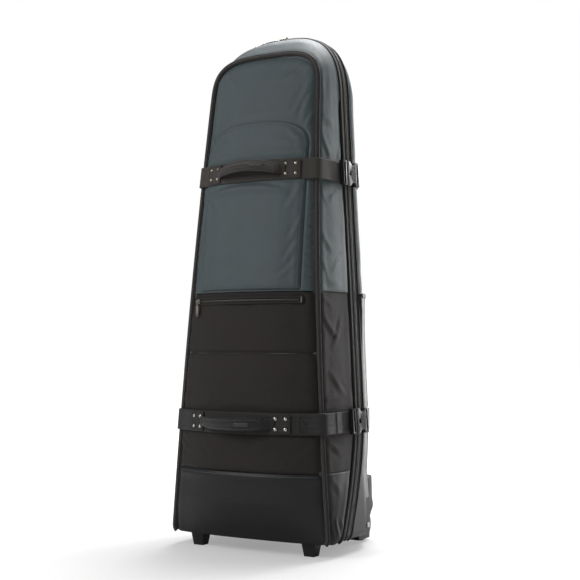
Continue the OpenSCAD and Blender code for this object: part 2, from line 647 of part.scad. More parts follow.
SLIDER_X = [-65, -32];
function zip_top(x) =
  let (w = side_w(case_h) + side_bulge) 1085 + (case_h - 1085) * pow(1 - pow(abs(x) / w, 3), 1 / 3);
function zip_slope(x) = atan((zip_top(x + 1) - zip_top(x - 1)) / 2);
main_len = 32;
main_eye_r = 2.6;
module at_main_slider(i) translate([SLIDER_X[i], zip_back, zip_top(SLIDER_X[i]) + 1.2])
  rotate([0, -zip_slope(SLIDER_X[i]), 0]) children();
module main_slider(i) color(silver) at_main_slider(i) slider_body(13, 12, 0);
module main_pull(i, dir) color(silver) at_main_slider(i) translate([0, 0, pivot_up])
  rotate([0, 0, dir > 0 ? 0 : 180]) pull_tab(main_len, 10, main_eye_r);

pocket_slider_x = -138;
pocket_slider_turn = asin(pocket_slider_x / pocket_arc_r);
pocket_pull_len = 36;
module at_pocket_slider()
  translate([0, pocket_arc_mid + pocket_arc_r, pocket_zip_z]) rotate([0, 0, pocket_slider_turn])
    translate([0, -pocket_arc_r - 2, 0]) rotate([90, 0, 0]) children();
module pocket_slider() color(silver) at_pocket_slider() slider_body(12, 10, 90);
module pocket_pull() color(silver) at_pocket_slider() translate([0, 0, pivot_up]) rotate([0, 0, -90])
  pull_tab(pocket_pull_len, 9, 2);

// ---------- nodes ----------
module left() mirror([1, 0, 0]) children();

back_panel();
rear_gusset();
rear_boot();
base_tray();
back_board();
zip_tape_rear();
rear_welt();
top_foam();
inner_strap(INNER_Z[1]);  // inner_strap_upper
inner_strap(INNER_Z[0]);  // inner_strap_lower
inner_buckles();
left() wheel_housing();  // wheel_housing_left
wheel_housing();  // wheel_housing_right
left() axle();  // axle_left
axle();  // axle_right
left() foot();  // foot_left
foot();  // foot_right
base_screws();
rear_strap(upper_z);  // rear_strap_upper
rear_strap(lower_z);  // rear_strap_lower
left() at_buckle(upper_z) socket();  // socket_upper_left
at_buckle(upper_z) socket();  // socket_upper_right
left() at_buckle(lower_z) socket();  // socket_lower_left
at_buckle(lower_z) socket();  // socket_lower_right
lid_panel_upper();
lid_pocket();
lid_panel_mid();
lid_skid_panel();
lid_gusset_upper();
lid_gusset_mid();
lid_gusset_skid();
front_piping();
lid_welt();
zip_tape_lid();
pocket_zip();
front_strap(upper_z);  // strap_upper
front_strap(lower_z);  // strap_lower
left() slack_loop();  // strap_slack_loop
handle_patches();
rivets();
left() at_buckle(upper_z) plug();  // plug_upper_left
at_buckle(upper_z) plug();  // plug_upper_right
left() at_buckle(lower_z) plug();  // plug_lower_left
at_buckle(lower_z) plug();  // plug_lower_right
front_grip(upper_z, 26);  // grip_upper
front_grip(lower_z, -4);  // grip_lower
main_slider(0);  // main_slider_left
main_slider(1);  // main_slider_right
main_pull(0, -1);  // main_pull_left
main_pull(1, 1);  // main_pull_right
pocket_slider();
pocket_pull();
left() tyre();  // tyre_left
tyre();  // tyre_right
left() hub();  // hub_left
hub();  // hub_right
left() bearings();  // bearings_left
bearings();  // bearings_right
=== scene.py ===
from math import acos, atan, atan2, cos, hypot, pi, radians, sin

import bmesh
import bpy
import numpy as np
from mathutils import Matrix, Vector


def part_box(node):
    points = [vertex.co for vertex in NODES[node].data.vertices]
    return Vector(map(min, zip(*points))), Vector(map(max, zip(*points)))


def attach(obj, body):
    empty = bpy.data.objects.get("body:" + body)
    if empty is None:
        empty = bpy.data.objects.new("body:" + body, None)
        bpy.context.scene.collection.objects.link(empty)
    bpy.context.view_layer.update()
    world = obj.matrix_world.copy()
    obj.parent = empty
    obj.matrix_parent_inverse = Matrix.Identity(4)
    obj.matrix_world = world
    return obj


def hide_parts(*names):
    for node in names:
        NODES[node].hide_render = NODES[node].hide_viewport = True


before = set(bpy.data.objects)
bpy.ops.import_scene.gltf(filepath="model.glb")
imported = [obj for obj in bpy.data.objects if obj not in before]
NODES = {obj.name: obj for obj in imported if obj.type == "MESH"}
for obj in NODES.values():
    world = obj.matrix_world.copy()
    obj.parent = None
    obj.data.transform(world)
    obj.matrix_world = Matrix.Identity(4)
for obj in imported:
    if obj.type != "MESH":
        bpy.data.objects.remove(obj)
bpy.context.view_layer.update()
MM = 0.001

# ---------------------------------------------------------------- shape of the case, in millimetres
FRONT = (0, -1, 0)
HALF_W, TAPER, TAPER_CURVE, BASE_Z, EDGE_R = 217.5, 0.0745, 13.5, 30, 18
EDGE_Z = BASE_Z + EDGE_R
SPLIT_Z, SKID_Z, BACK_Y, TAPE_HALF = 612, 192, 170, 22
PIPING_R, WELT_R, SIDE_BULGE, SKIN = 4.5, 3.2, 10, 5
PIPING_IN = PIPING_R + 1.9
ZIP_EDGE = TAPE_HALF + WELT_R + 0.6
FRONT_EDGE = PIPING_R + 0.3
# the front edge's depth and lean, and the main zipper's depth with its two curves towards the front
FRONT_Y, FRONT_LEAN = -111, 58
MAIN_ZIP_Y, MAIN_ZIP_EASE, MAIN_ZIP_CURVE = 74, (20, 650, 650, 1.3), (96, 340, 307, 1.7)
# outlines seen from the front: how far each stands out, its top, where its arch springs and its power
SPRING_Z, ARCH_RISE, ARCH_POWER, ZIP_SPRING_Z = 1095, 98.6, 3.5, 1085
FRONT_RING, MID_RING = (0, 1200, SPRING_Z, ARCH_POWER), (10, 1240, 1088, 3.2)
ZIP_RING = (10, 1260, ZIP_SPRING_Z, 3)
REAR_R, REAR_ARCH_R, REAR_TOP, REAR_POWER = 66, 84, 1256, 2.7
# where the walls bend, and how far the zipper sinks over the top of the arch
MID_PART, LID_SINK, REAR_SINK, LID_WELT_R = 0.45, 4.5, 2.0, 4.4
# the boot's corner and flare, and its notch for the wheel housing
BOOT_R, FLARE_Z, WEB_X = 110, 440, 205
NOTCH_X, NOTCH_LOW_Y, NOTCH_Y, NOTCH_Z, OUTSIDE = 136, 52, 78, 119, 300
MID_SEAM_Z, ZIP_Z, ZIP_HALF = 468, 592, 148
BULGE_Z = [30, 70, 120, 200, 305, 400, 612, 760, 905, 1050, 1130, 1200]
BULGE_Y = [14, 32, 46, 54, 56, 54, 45, 41, 36, 27, 15, 0]
UPPER_Z, LOWER_Z = 903, 306
WEB_W, WEB_T, STRAP_LIFT, SIDE_LIFT = 50, 2.2, 4.6, 3.8


def cols(*parts):
    """Arrays of one shape set side by side on a new last axis, such as the x, y and z of points."""
    return np.stack(parts, -1)


def join(*parts):
    return np.concatenate(parts)


def angles(first, last, count):
    return np.radians(np.linspace(first, last, count))


def signed_power(v, power):
    return np.sign(v) * np.abs(v) ** power


def circle(count):
    return np.linspace(0, 2 * pi, count, endpoint=False)


def unit(v):
    return v / np.linalg.norm(v, axis=1, keepdims=True)


def lengths(line):
    """Length along a line at each of its points."""
    return join([0], np.cumsum(np.linalg.norm(np.diff(line, axis=0), axis=1)))


def side_w(z):
    z = np.asarray(z, float)
    drop = np.clip(EDGE_Z - z, 0, EDGE_R)
    edge_in = EDGE_R - np.sqrt(EDGE_R**2 - drop**2)
    return HALF_W - TAPER * z + TAPER_CURVE * (z / 1000) ** 2 - edge_in


def front_y(z):
    return FRONT_Y + FRONT_LEAN * (np.asarray(z, float) / 1000) ** 2


def zip_y(z):
    z = np.asarray(z, float)
    drop = lambda by, start, span, power: by * (np.clip(start - z, 0, None) / span) ** power
    return MAIN_ZIP_Y - drop(*MAIN_ZIP_EASE) - drop(*MAIN_ZIP_CURVE)


def ring_w(z, ring=FRONT_RING):
    z = np.asarray(z, float)
    t = np.clip((z - ring[2]) / (ring[1] - ring[2]), 0, 1)
    return (side_w(z) + ring[0]) * (1 - t ** ring[3]) ** (1 / ring[3])


def front_face(x, z):
    w = np.maximum(ring_w(z), 1e-3)
    return front_y(z) - np.interp(z, BULGE_Z, BULGE_Y) * (1 - np.clip(np.abs(x) / w, 0, 1) ** 2.5)


def inset(ring, t):
    return (ring[0] - t, ring[1] - t, ring[2], ring[3])


def rail(ring, lo, step=7, arch_n=56):
    """Front-view outline of a ring as [x, z], from height lo on the right over the arch to lo on the left."""
    low = [] if lo > 50 else list(np.linspace(lo, EDGE_Z, 8))[:-1]
    start = lo if lo > 50 else EDGE_Z
    z = np.array(low + list(np.linspace(start, ring[2], int((ring[2] - start) / step) + 2)))
    side = cols(side_w(z) + ring[0], z)
    a = np.radians(np.linspace(0, 90, arch_n)[1:])
    az = ring[2] + (ring[1] - ring[2]) * np.sin(a) ** (2 / ring[3])
    arch = cols((side_w(az) + ring[0]) * np.clip(np.cos(a), 0, 1) ** (2 / ring[3]), az)
    half = join(side, arch)
    line = join(half, half[-2::-1] * [-1, 1])
    return resample(line, len(line))


def resample(line, count):
    """Evenly spaced points along a line."""
    d = lengths(line)
    t = np.linspace(0, d[-1], count)
    return np.stack([np.interp(t, d, line[:, k]) for k in range(line.shape[1])], 1)


def spline(points, per=8):
    """Catmull-Rom curve through points."""
    p = np.asarray(points, float)
    p = join([2 * p[0] - p[1]], p, [2 * p[-1] - p[-2]])
    out = []
    for i in range(1, len(p) - 2):
        for t in np.linspace(0, 1, per, endpoint=False):
            a, b, c, d = p[i - 1:i + 3]
            out.append(0.5 * (2 * b + (c - a) * t + (2 * a - 5 * b + 4 * c - d) * t**2
                              + (3 * b - a - 3 * c + d) * t**3))
    return np.array(out + [p[-2]])


def at_zip(line, shift=0.0):
    return cols(line[:, 0], zip_y(line[:, 1]) + shift, line[:, 1])


def at_front(line, shift=0.0):
    return cols(line[:, 0], front_y(line[:, 1]) + shift, line[:, 1])


# ---------------------------------------------------------------- small numeric tools
def noise(x, y, scale, seed):
    """Smooth seeded noise from -1 to 1, with features about scale wide."""
    table = np.random.RandomState(seed).rand(64, 64) * 2 - 1
    u, v = np.asarray(x) / scale + 17.3, np.asarray(y) / scale + 31.7
    i, j = np.floor(u).astype(int), np.floor(v).astype(int)
    f, g = u - i, v - j
    f, g = f * f * (3 - 2 * f), g * g * (3 - 2 * g)
    t = lambda a, b: table[a % 64, b % 64]
    return (t(i, j) * (1 - f) + t(i + 1, j) * f) * (1 - g) + (t(i, j + 1) * (1 - f) + t(i + 1, j + 1) * f) * g


def smooth(t):
    t = np.clip(t, 0, 1)
    return t * t * (3 - 2 * t)


def bell(d, width):
    return np.exp(-(d / width) ** 2)


def under_strap(z, centre):
    return 1 - smooth((np.abs(z - centre) - 22) / 16)


def fold(x, z, start, end, width, height):
    """A soft ridge with a shallow valley on one side, from start to end, that fades out at both ends."""
    dx, dz = end[0] - start[0], end[1] - start[1]
    size = hypot(dx, dz)
    t = ((x - start[0]) * dx + (z - start[1]) * dz) / size**2
    d = ((x - start[0]) * dz - (z - start[1]) * dx) / size
    d = d + 0.5 * width * np.sin(4 * t + start[0] * 0.1 + start[1] * 0.07)
    reach = smooth(t * 3.5) * smooth((1 - t) * 3)
    return height * reach * (bell(d, width) - 0.65 * bell(d - 1.7 * width, width * 0.9))


def add_folds(relief, x, z, rows):
    for start, end, width, height in rows:
        relief = relief + fold(x, z, start, end, width, height)
    return relief


def normals(p, hint):
    n = np.cross(np.gradient(p, axis=0), np.gradient(p, axis=1))
    n /= np.maximum(np.linalg.norm(n, axis=2, keepdims=True), 1e-9)
    return n * (1 if (n * hint).sum() > 0 else -1)


# ---------------------------------------------------------------- meshes
def add_object(name, data):
    piece = bpy.data.objects.new(name, data)
    bpy.context.scene.collection.objects.link(piece)
    return piece


def shade_smooth(mesh, angle=None):
    mesh.polygons.foreach_set("use_smooth", np.ones(len(mesh.polygons), bool))
    if angle:
        mesh.set_sharp_from_angle(angle=radians(angle))


def finish_mesh(name, verts, faces, uvs=None, mats=(), face_mats=None, angle=None):
    """A smooth-shaded piece from vertices in millimetres; uvs are in metres along the cloth."""
    mesh = bpy.data.meshes.new(name)
    mesh.from_pydata((np.asarray(verts, float) * MM).tolist(), [], faces)
    for m in mats:
        mesh.materials.append(m)
    if face_mats is not None:
        mesh.polygons.foreach_set("material_index", np.asarray(face_mats, np.int32))
    if uvs is not None:
        layer = mesh.uv_layers.new(name="cloth")
        index = np.zeros(len(mesh.loops), np.int32)
        mesh.loops.foreach_get("vertex_index", index)
        layer.data.foreach_set("uv", np.asarray(uvs, np.float32)[index].ravel())
    bm = bmesh.new()
    bm.from_mesh(mesh)
    bmesh.ops.recalc_face_normals(bm, faces=bm.faces)
    bm.to_mesh(mesh)
    bm.free()
    shade_smooth(mesh, angle)
    mesh.update()
    return add_object(name, mesh)


def row_lengths(p):
    """Length along each row of a grid of points."""
    steps = np.linalg.norm(np.diff(p, axis=1), axis=2)
    return np.concatenate([np.zeros((p.shape[0], 1)), np.cumsum(steps, 1)], 1)


def grid_uv(p):
    """Lengths along both directions of a grid of points, in metres."""
    u, v = row_lengths(p), row_lengths(p.swapaxes(0, 1)).T
    u -= u[:, -1:] / 2
    return cols(u, v.mean(1, keepdims=True) + 0 * u).reshape(-1, 2) * MM


def quads(n, m, base=0, loop_n=False, loop_m=False):
    i, j = np.meshgrid(np.arange(n if loop_n else n - 1), np.arange(m if loop_m else m - 1), indexing="ij")
    a, b = base + i * m + j, base + i * m + (j + 1) % m
    c, d = base + (i + 1) % n * m + (j + 1) % m, base + (i + 1) % n * m + j
    return cols(a, b, c, d).reshape(-1, 4)


def shell(name, outer, inner, mats, angle=None):
    """Closed padded wall between an outer and an inner grid of points; the lining is the second material."""
    n, m = outer.shape[:2]
    size = n * m
    edge = [i * m for i in range(n)] + [(n - 1) * m + j for j in range(1, m)]
    edge += [i * m + m - 1 for i in range(n - 2, -1, -1)] + [j for j in range(m - 2, 0, -1)]
    rim = [(a, b, b + size, a + size) for a, b in zip(edge, edge[1:] + edge[:1])]
    faces = quads(n, m).tolist() + quads(n, m, size)[:, ::-1].tolist() + rim
    kinds = [0] * len(quads(n, m)) + [len(mats) - 1] * len(quads(n, m)) + [0] * len(rim)
    verts = join(outer.reshape(-1, 3), inner.reshape(-1, 3))
    uv = grid_uv(outer)
    return finish_mesh(name, verts, faces, join(uv, uv), mats, kinds, angle)


def tube(name, line, profile, mats, up, closed=False, angle=None):
    """Sweeps a profile of [side, out] points along a line; up(i) gives the out direction at each point."""
    line = np.asarray(line, float)
    ahead = np.roll(line, -1, 0) - np.roll(line, 1, 0)
    if not closed:
        ahead[0], ahead[-1] = line[1] - line[0], line[-1] - line[-2]
    ahead = unit(ahead)
    out = np.asarray(up, float) + 0 * line
    out = out - (out * ahead).sum(1, keepdims=True) * ahead
    out = unit(out)
    side = np.cross(ahead, out)
    prof = np.asarray(profile, float)
    if prof.ndim == 2:
        prof = np.repeat(prof[None], len(line), 0)
    p = line[:, None] + prof[:, :, :1] * side[:, None] + prof[:, :, 1:] * out[:, None]
    n, m = p.shape[:2]
    faces = quads(n, m, loop_n=closed, loop_m=True).tolist()
    if not closed:
        faces += [list(range(m))[::-1], list(range((n - 1) * m, n * m))]
    around = lengths(prof[0])
    along = lengths(line)
    uv = np.stack(np.meshgrid(around, along), 2).reshape(-1, 2) * MM
    return finish_mesh(name, p.reshape(-1, 3), faces, uv, mats, angle=angle)


def disc(r, sides=10, squash=1.0):
    a = circle(sides)
    return cols(r * np.cos(a), r * squash * np.sin(a))


def stitches(name, line, mat, out, length=3.4, pitch=4.6, r=0.42, lift=0.25):
    """A row of thread stitches along a line, each a small rounded bar bedded in the cloth."""
    line = np.asarray(line, float)
    d = lengths(line)
    at = lambda t: np.stack([np.interp(t, d, line[:, k]) for k in range(3)], 1)
    outs = np.asarray(out, float) + 0 * line
    at_out = lambda t: np.stack([np.interp(t, d, outs[:, k]) for k in range(3)], 1)
    starts = np.arange(pitch / 2, d[-1] - pitch / 2, pitch)
    verts, faces = [], []
    parts = [(-0.5, 0.35, -0.3), (-0.35, 0.85, 0.1), (0, 1.0, 0.3), (0.35, 0.85, 0.1), (0.5, 0.35, -0.3)]
    a = circle(6)
    fwd = at(starts + 0.5) - at(starts - 0.5)
    fwd = unit(fwd)
    up = at_out(starts)
    up = unit(up)
    side = np.cross(fwd, up)
    mid = at(starts)
    ring = []
    for t, k, h in parts:
        c = mid + fwd * t * length + up * (lift + h * r)
        around = np.cos(a)[None, :, None] * side[:, None] + np.sin(a)[None, :, None] * up[:, None]
        ring.append(c[:, None] + r * k * around)
    p = np.stack(ring, 1)
    count, per = len(starts), 5 * 6
    one = quads(5, 6, loop_m=True).tolist() + [list(range(6))[::-1], list(range(24, 30))]
    for s in range(count):
        faces += [[i + s * per for i in f] for f in one]
    uv = np.tile(cols(np.tile(a, 5) * r, np.repeat([q[0] for q in parts], 6) * length) * MM, (count, 1))
    return finish_mesh(name, p.reshape(-1, 3), faces, uv, [mat])


def softened(node, width, mats, segments):
    """A copy of a hard CAD node with rounded edges, which replaces it."""
    bm = bmesh.new()
    bm.from_mesh(NODES[node].data)
    bmesh.ops.remove_doubles(bm, verts=bm.verts, dist=2e-6)
    bmesh.ops.dissolve_limit(bm, angle_limit=radians(0.6), verts=bm.verts, edges=bm.edges)
    sharp = [e for e in bm.edges if len(e.link_faces) == 2 and e.calc_face_angle() > radians(28)]
    bmesh.ops.bevel(bm, geom=sharp, offset=width * MM, segments=segments, profile=0.6, affect="EDGES",
                    clamp_overlap=True, loop_slide=True)
    bmesh.ops.triangulate(bm, faces=[f for f in bm.faces if len(f.verts) > 4])
    mesh = bpy.data.meshes.new(node + "_look")
    bm.to_mesh(mesh)
    bm.free()
    for m in mats:
        mesh.materials.append(m)
    shade_smooth(mesh, 32)
    piece = add_object(node + "_look", mesh)
    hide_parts(node)
    return piece


def place(piece, body, slot, *nodes):
    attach(piece, body)
    if nodes:
        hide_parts(*nodes)
    return piece


# ---------------------------------------------------------------- materials
def new_material(name):
    mat = bpy.data.materials.new(name)
    mat.use_nodes = True
    tree = mat.node_tree
    return mat, tree, tree.nodes["Principled BSDF"]


def link_all(tree, pairs):
    for a, b in pairs:
        tree.links.new(a, b)


def ramp(tree, fac, stops):
    node = tree.nodes.new("ShaderNodeValToRGB")
    for k, (pos, colour) in enumerate(stops):
        e = node.color_ramp.elements[k] if k < 2 else node.color_ramp.elements.new(pos)
        e.position = pos
        e.color = (*colour, 1)
    tree.links.new(fac, node.inputs["Fac"])
    return node.outputs["Color"]


def texture_noise(tree, vector, scale, detail=3.0, rough=0.55):
    node = tree.nodes.new("ShaderNodeTexNoise")
    node.inputs["Scale"].default_value = scale
    node.inputs["Detail"].default_value = detail
    node.inputs["Roughness"].default_value = rough
    tree.links.new(vector, node.inputs["Vector"])
    return node.outputs["Fac"]


def math_node(tree, kind, a, b=None):
    node = tree.nodes.new("ShaderNodeMath")
    node.operation = kind
    for k, v in enumerate((a, b)):
        if v is None:
            continue
        if isinstance(v, (int, float)):
            node.inputs[k].default_value = v
        else:
            tree.links.new(v, node.inputs[k])
    return node.outputs[0]


def bump(tree, height, strength, distance, normal=None):
    node = tree.nodes.new("ShaderNodeBump")
    node.inputs["Strength"].default_value = strength
    node.inputs["Distance"].default_value = distance
    tree.links.new(height, node.inputs["Height"])
    if normal is not None:
        tree.links.new(normal, node.inputs["Normal"])
    return node.outputs["Normal"]


def scaled(colour, k):
    return tuple(min(1.0, c * k) for c in colour)


def cloth(name, colour, pitch=0.0009, rough=0.55, sheen=0.25, weave=0.5, crease=0.25, kind="plain",
                   vary=0.14, spec=0.4):
    """Woven cloth: yarns from the cloth map, slubs, large patches of varied tone, dust and soft creases;
    painted shade darkens the gaps between the yarns.
    """
    mat, tree, bsdf = new_material(name)
    uv = tree.nodes.new("ShaderNodeUVMap")
    uv.uv_map = "cloth"
    place3 = tree.nodes.new("ShaderNodeTexCoord").outputs["Object"]
    split = tree.nodes.new("ShaderNodeSeparateXYZ")
    tree.links.new(uv.outputs["UV"], split.inputs[0])
    mul = lambda a, b: math_node(tree, "MULTIPLY", a, b)
    add = lambda a, b: math_node(tree, "ADD", a, b)
    wave = lambda a, k: math_node(tree, "SINE", mul(a, k))
    ridges = lambda a, k: math_node(tree, "ABSOLUTE", wave(a, k))
    k = pi / pitch
    x, y = split.outputs[0], split.outputs[1]
    if kind == "webbing":
        # lengthwise ribs crossed by a herringbone of picks
        zig = math_node(tree, "PINGPONG", x, 0.006)
        picks = ridges(add(mul(zig, 0.9), y), pi / 0.0021)
        yarns = add(mul(ridges(x, k), 0.45), mul(picks, 0.75))
    elif kind == "twill":
        yarns = add(ridges(add(x, y), k), mul(ridges(y, k * 1.6), 0.4))
    else:
        yarns = math_node(tree, "ABSOLUTE", mul(wave(x, k), wave(y, k)))
    patches = texture_noise(tree, place3, 7.0, 4.0)
    slubs = texture_noise(tree, place3, 240.0, 2.0)
    shade = add(mul(patches, 0.6), mul(slubs, 0.4))
    base = ramp(tree, shade, [(0.3, scaled(colour, 1 - vary)), (0.7, scaled(colour, 1 + vary))])
    # painted shade: the base colour is darkened in the gaps between the yarns, most of all on webbing
    yarn_gap_shade = tree.nodes.new("ShaderNodeMix")
    yarn_gap_shade.data_type = "RGBA"
    yarn_gap_shade.blend_type = "MULTIPLY"
    yarn_gap_shade.inputs["Factor"].default_value = 0.55 if kind == "webbing" else 0.35
    tree.links.new(base, yarn_gap_shade.inputs["A"])
    tree.links.new(ramp(tree, yarns, [(0.0, (0.55,) * 3), (0.5, (1.0,) * 3)]), yarn_gap_shade.inputs["B"])
    creases = texture_noise(tree, place3, 26.0, 5.0, 0.6)
    level = bump(tree, creases, crease, 0.004)
    level = bump(tree, yarns, weave, 0.0004, level)
    link_all(tree, [(yarn_gap_shade.outputs["Result"], bsdf.inputs["Base Color"]), (level, bsdf.inputs["Normal"]),
                    (add(mul(patches, 0.2), rough - 0.1), bsdf.inputs["Roughness"])])
    bsdf.inputs["Sheen Weight"].default_value = sheen
    bsdf.inputs["Sheen Roughness"].default_value = 0.45
    bsdf.inputs["Specular IOR Level"].default_value = spec
    return mat


def solid(name, colour, rough=0.4, metal=0.0, grain=900.0, depth=0.15, wear=0.12, coat=0.0, spec=0.5,
                   vary=0.08, distance=0.0004):
    """Moulded plastic, rubber or metal: fine grain, faint handling marks and slightly worn patches."""
    mat, tree, bsdf = new_material(name)
    place3 = tree.nodes.new("ShaderNodeTexCoord").outputs["Object"]
    grains = texture_noise(tree, place3, grain, 2.0)
    smears = texture_noise(tree, place3, 22.0, 5.0, 0.65)
    base = ramp(tree, smears, [(0.3, scaled(colour, 1 - vary)), (0.75, scaled(colour, 1 + vary + wear))])
    spread = math_node(tree, "MULTIPLY", smears, 0.25)
    link_all(tree, [(base, bsdf.inputs["Base Color"]),
                    (bump(tree, grains, depth, distance), bsdf.inputs["Normal"]),
                    (math_node(tree, "ADD", spread, max(0.02, rough - 0.12)),
                     bsdf.inputs["Roughness"])])
    bsdf.inputs["Metallic"].default_value = metal
    bsdf.inputs["Specular IOR Level"].default_value = spec
    bsdf.inputs["Coat Weight"].default_value = coat
    return mat


SLATE = (0.075, 0.099, 0.107)
BLACK = (0.027, 0.022, 0.021)
M = {
    "slate": cloth("slate_nylon", SLATE, 0.0009, 0.5, 0.08, 0.35, 0.22, spec=0.35),
    "black": cloth("black_nylon", BLACK, 0.0011, 0.66, 0.04, 0.5, 0.22, spec=0.25),
    "skid": cloth("coated_fabric", (0.017, 0.017, 0.019), 0.0014, 0.46, 0.02, 0.15, 0.12, spec=0.35),
    "lining": cloth("lining_cloth", (0.11, 0.11, 0.115), 0.0008, 0.7, 0.2, 0.4, 0.3),
    "web_up": cloth("webbing_upper", (0.046, 0.040, 0.034), 0.0024, 0.66, 0.2, 0.9, 0.05, "webbing", 0.2),
    "web_low": cloth("webbing_lower", (0.021, 0.019, 0.018), 0.0024, 0.62, 0.15, 0.9, 0.05, "webbing", 0.2),
    "grip_up": cloth("grip_cloth_upper", (0.045, 0.039, 0.033), 0.0013, 0.6, 0.2, 0.8, 0.1, "twill", 0.2),
    "grip_low": cloth("grip_cloth_lower", (0.017, 0.016, 0.016), 0.0013, 0.5, 0.1, 0.8, 0.1, "twill", 0.2),
    "bind": cloth("piping_cover", (0.040, 0.035, 0.029), 0.0012, 0.55, 0.2, 0.7, 0.08, "twill", 0.25),
    "bind_dark": cloth("piping_edge", (0.014, 0.013, 0.012), 0.0012, 0.5, 0.1, 0.7, 0.08, "twill", 0.2),
    "tape": cloth("zip_tape_cloth", (0.028, 0.026, 0.023), 0.0010, 0.6, 0.15, 0.8, 0.05, "twill", 0.2),
    "coil": solid("zip_coil", (0.035, 0.032, 0.028), 0.35, grain=1500, depth=0.1),
    "thread": cloth("light_thread", (0.17, 0.19, 0.20), 0.0005, 0.5, 0.2, 0.6, 0.0, "twill", 0.1),
    "thread_dark": cloth("dark_thread", (0.012, 0.012, 0.012), 0.0005, 0.5, 0.1, 0.6, 0.0, "twill", 0.1),
    "boot": solid("boot_plastic", (0.020, 0.020, 0.022), 0.36, grain=520, depth=0.22, coat=0.0, vary=0.12),
    "moulded": solid("moulded_plastic", (0.014, 0.014, 0.015), 0.42, grain=700, depth=0.3, vary=0.15),
    "board": solid("board_plastic", (0.05, 0.05, 0.05), 0.6, grain=400, depth=0.3),
    "buckle": solid("buckle_plastic", (0.020, 0.020, 0.021), 0.2, grain=900, depth=0.05, coat=0.3),
    "label": solid("label_rubber", (0.040, 0.037, 0.034), 0.5, grain=700, depth=0.2),
    "zip_metal": solid("zip_metal", (0.62, 0.58, 0.50), 0.28, 1.0, grain=300, depth=0.06, wear=0.3),
    "brass": solid("rivet_brass", (0.36, 0.32, 0.25), 0.34, 1.0, grain=300, depth=0.08, wear=0.35),
    "silver": solid("rivet_silver", (0.62, 0.60, 0.56), 0.28, 1.0, grain=300, depth=0.06, wear=0.2),
    "rivet_rim": solid("rivet_rim", (0.06, 0.055, 0.05), 0.4, 1.0, grain=300, depth=0.06, wear=0.2),
    "steel": solid("steel", (0.55, 0.55, 0.55), 0.3, 1.0, grain=300, depth=0.05),
    "tyre": solid("wheel_tyre", (0.3, 0.305, 0.305), 0.45, grain=500, depth=0.15),
    "hub": solid("wheel_hub", (0.30, 0.30, 0.305), 0.4, grain=500, depth=0.15),
    "foam": cloth("foam_cover", (0.09, 0.09, 0.09), 0.0012, 0.75, 0.3, 0.5, 0.3),
}


def sew(name, line, mat, slot, body="lid", out=FRONT, **options):
    """A row of stitches, attached to a body; slot, the cloth it is sewn into, is not used."""
    return place(stitches(name, line, M[mat], out, **options), body, slot)


# ---------------------------------------------------------------- front panels
def front_grid(z, w, across, lift, disp):
    """Grid over the front's face at heights z and half widths w, lifted off it, with cloth relief on top."""
    t = np.linspace(-1, 1, across)
    u = 0.72 * t + 0.28 * np.sin(t * pi / 2)
    x = w[:, None] * u[None]
    zz = z[:, None] + 0 * x
    p = cols(x, front_face(x, zz) - lift, zz)
    return p + normals(p, FRONT) * np.asarray(disp(x, zz))[..., None]


def strap_press(z, centre, relief):
    """Cloth relief held down under a strap and squeezed up a little beside it."""
    d = np.abs(z - centre)
    hold = 1 - smooth((d - 20) / 18)
    return relief * (1 - hold) - 0.9 * hold + 1.7 * bell(d - 43, 12)


def panel_edge(x, z):
    """Distance from the piping, for the arch as well as the sides."""
    w = side_w(z) - PIPING_IN
    top = SPRING_Z + ARCH_RISE * (1 - np.clip(np.abs(x) / w, 0, 1) ** ARCH_POWER) ** (1 / ARCH_POWER)
    return np.minimum(w - np.abs(x), np.maximum(top - z, 0))


POCKET_HALF, POCKET_SPRING, POCKET_RISE = 140, 950, 75


def pocket_edge(x, z):
    """Distance inside the pocket's arched seam, negative outside it."""
    r = ((np.abs(x) / POCKET_HALF) ** 3 + (np.clip(z - POCKET_SPRING, 0, None) / POCKET_RISE) ** 3) ** (1 / 3)
    return np.where(z < POCKET_SPRING, POCKET_HALF - np.abs(x), (1 - r) * 92)


def upper_relief(x, z):
    d = panel_edge(x, z)
    o = 1.3 * noise(x, z, 170, 1) + 0.7 * noise(x, z, 62, 2) + 0.2 * noise(x + 0.4 * z, z, 23, 3)
    o = o - 3.4 * bell(d, 6) + 1.5 * bell(d - 19, 12)
    o = add_folds(o, x, z, (((132, 1152), (70, 1068), 6, 1.5), ((141, 1128), (88, 1030), 7, 1.7),
                         ((118, 1172), (52, 1120), 6, 1.2), ((146, 1098), (112, 1010), 6, 1.1),
                         ((92, 1184), (20, 1150), 7, 0.9), ((150, 1060), (128, 985), 5, 0.9),
                         ((-150, 1050), (-112, 1000), 8, 1.0), ((-120, 1168), (-60, 1110), 8, 0.7)))
    rnd = np.random.RandomState(5)
    for k, zc in enumerate(range(640, 1010, 23)):
        lean, reach = rnd.uniform(-16, 16), rnd.uniform(0.7, 1.3)
        o = o + fold(x, z, (176, zc + lean * 0.4), (136, zc - lean), 3.6, 1.1 * reach) * (x > 0)
        o = o + fold(x, z, (-176, zc + lean), (-138, zc - 8), 4.5, 0.8 * reach) * (x < 0)
    dp = pocket_edge(x, z)
    o = strap_press(z, UPPER_Z, o)
    return np.where(dp > 0, -1.4, o * smooth(-dp / 5) - 1.4 * (1 - smooth(-dp / 5)))


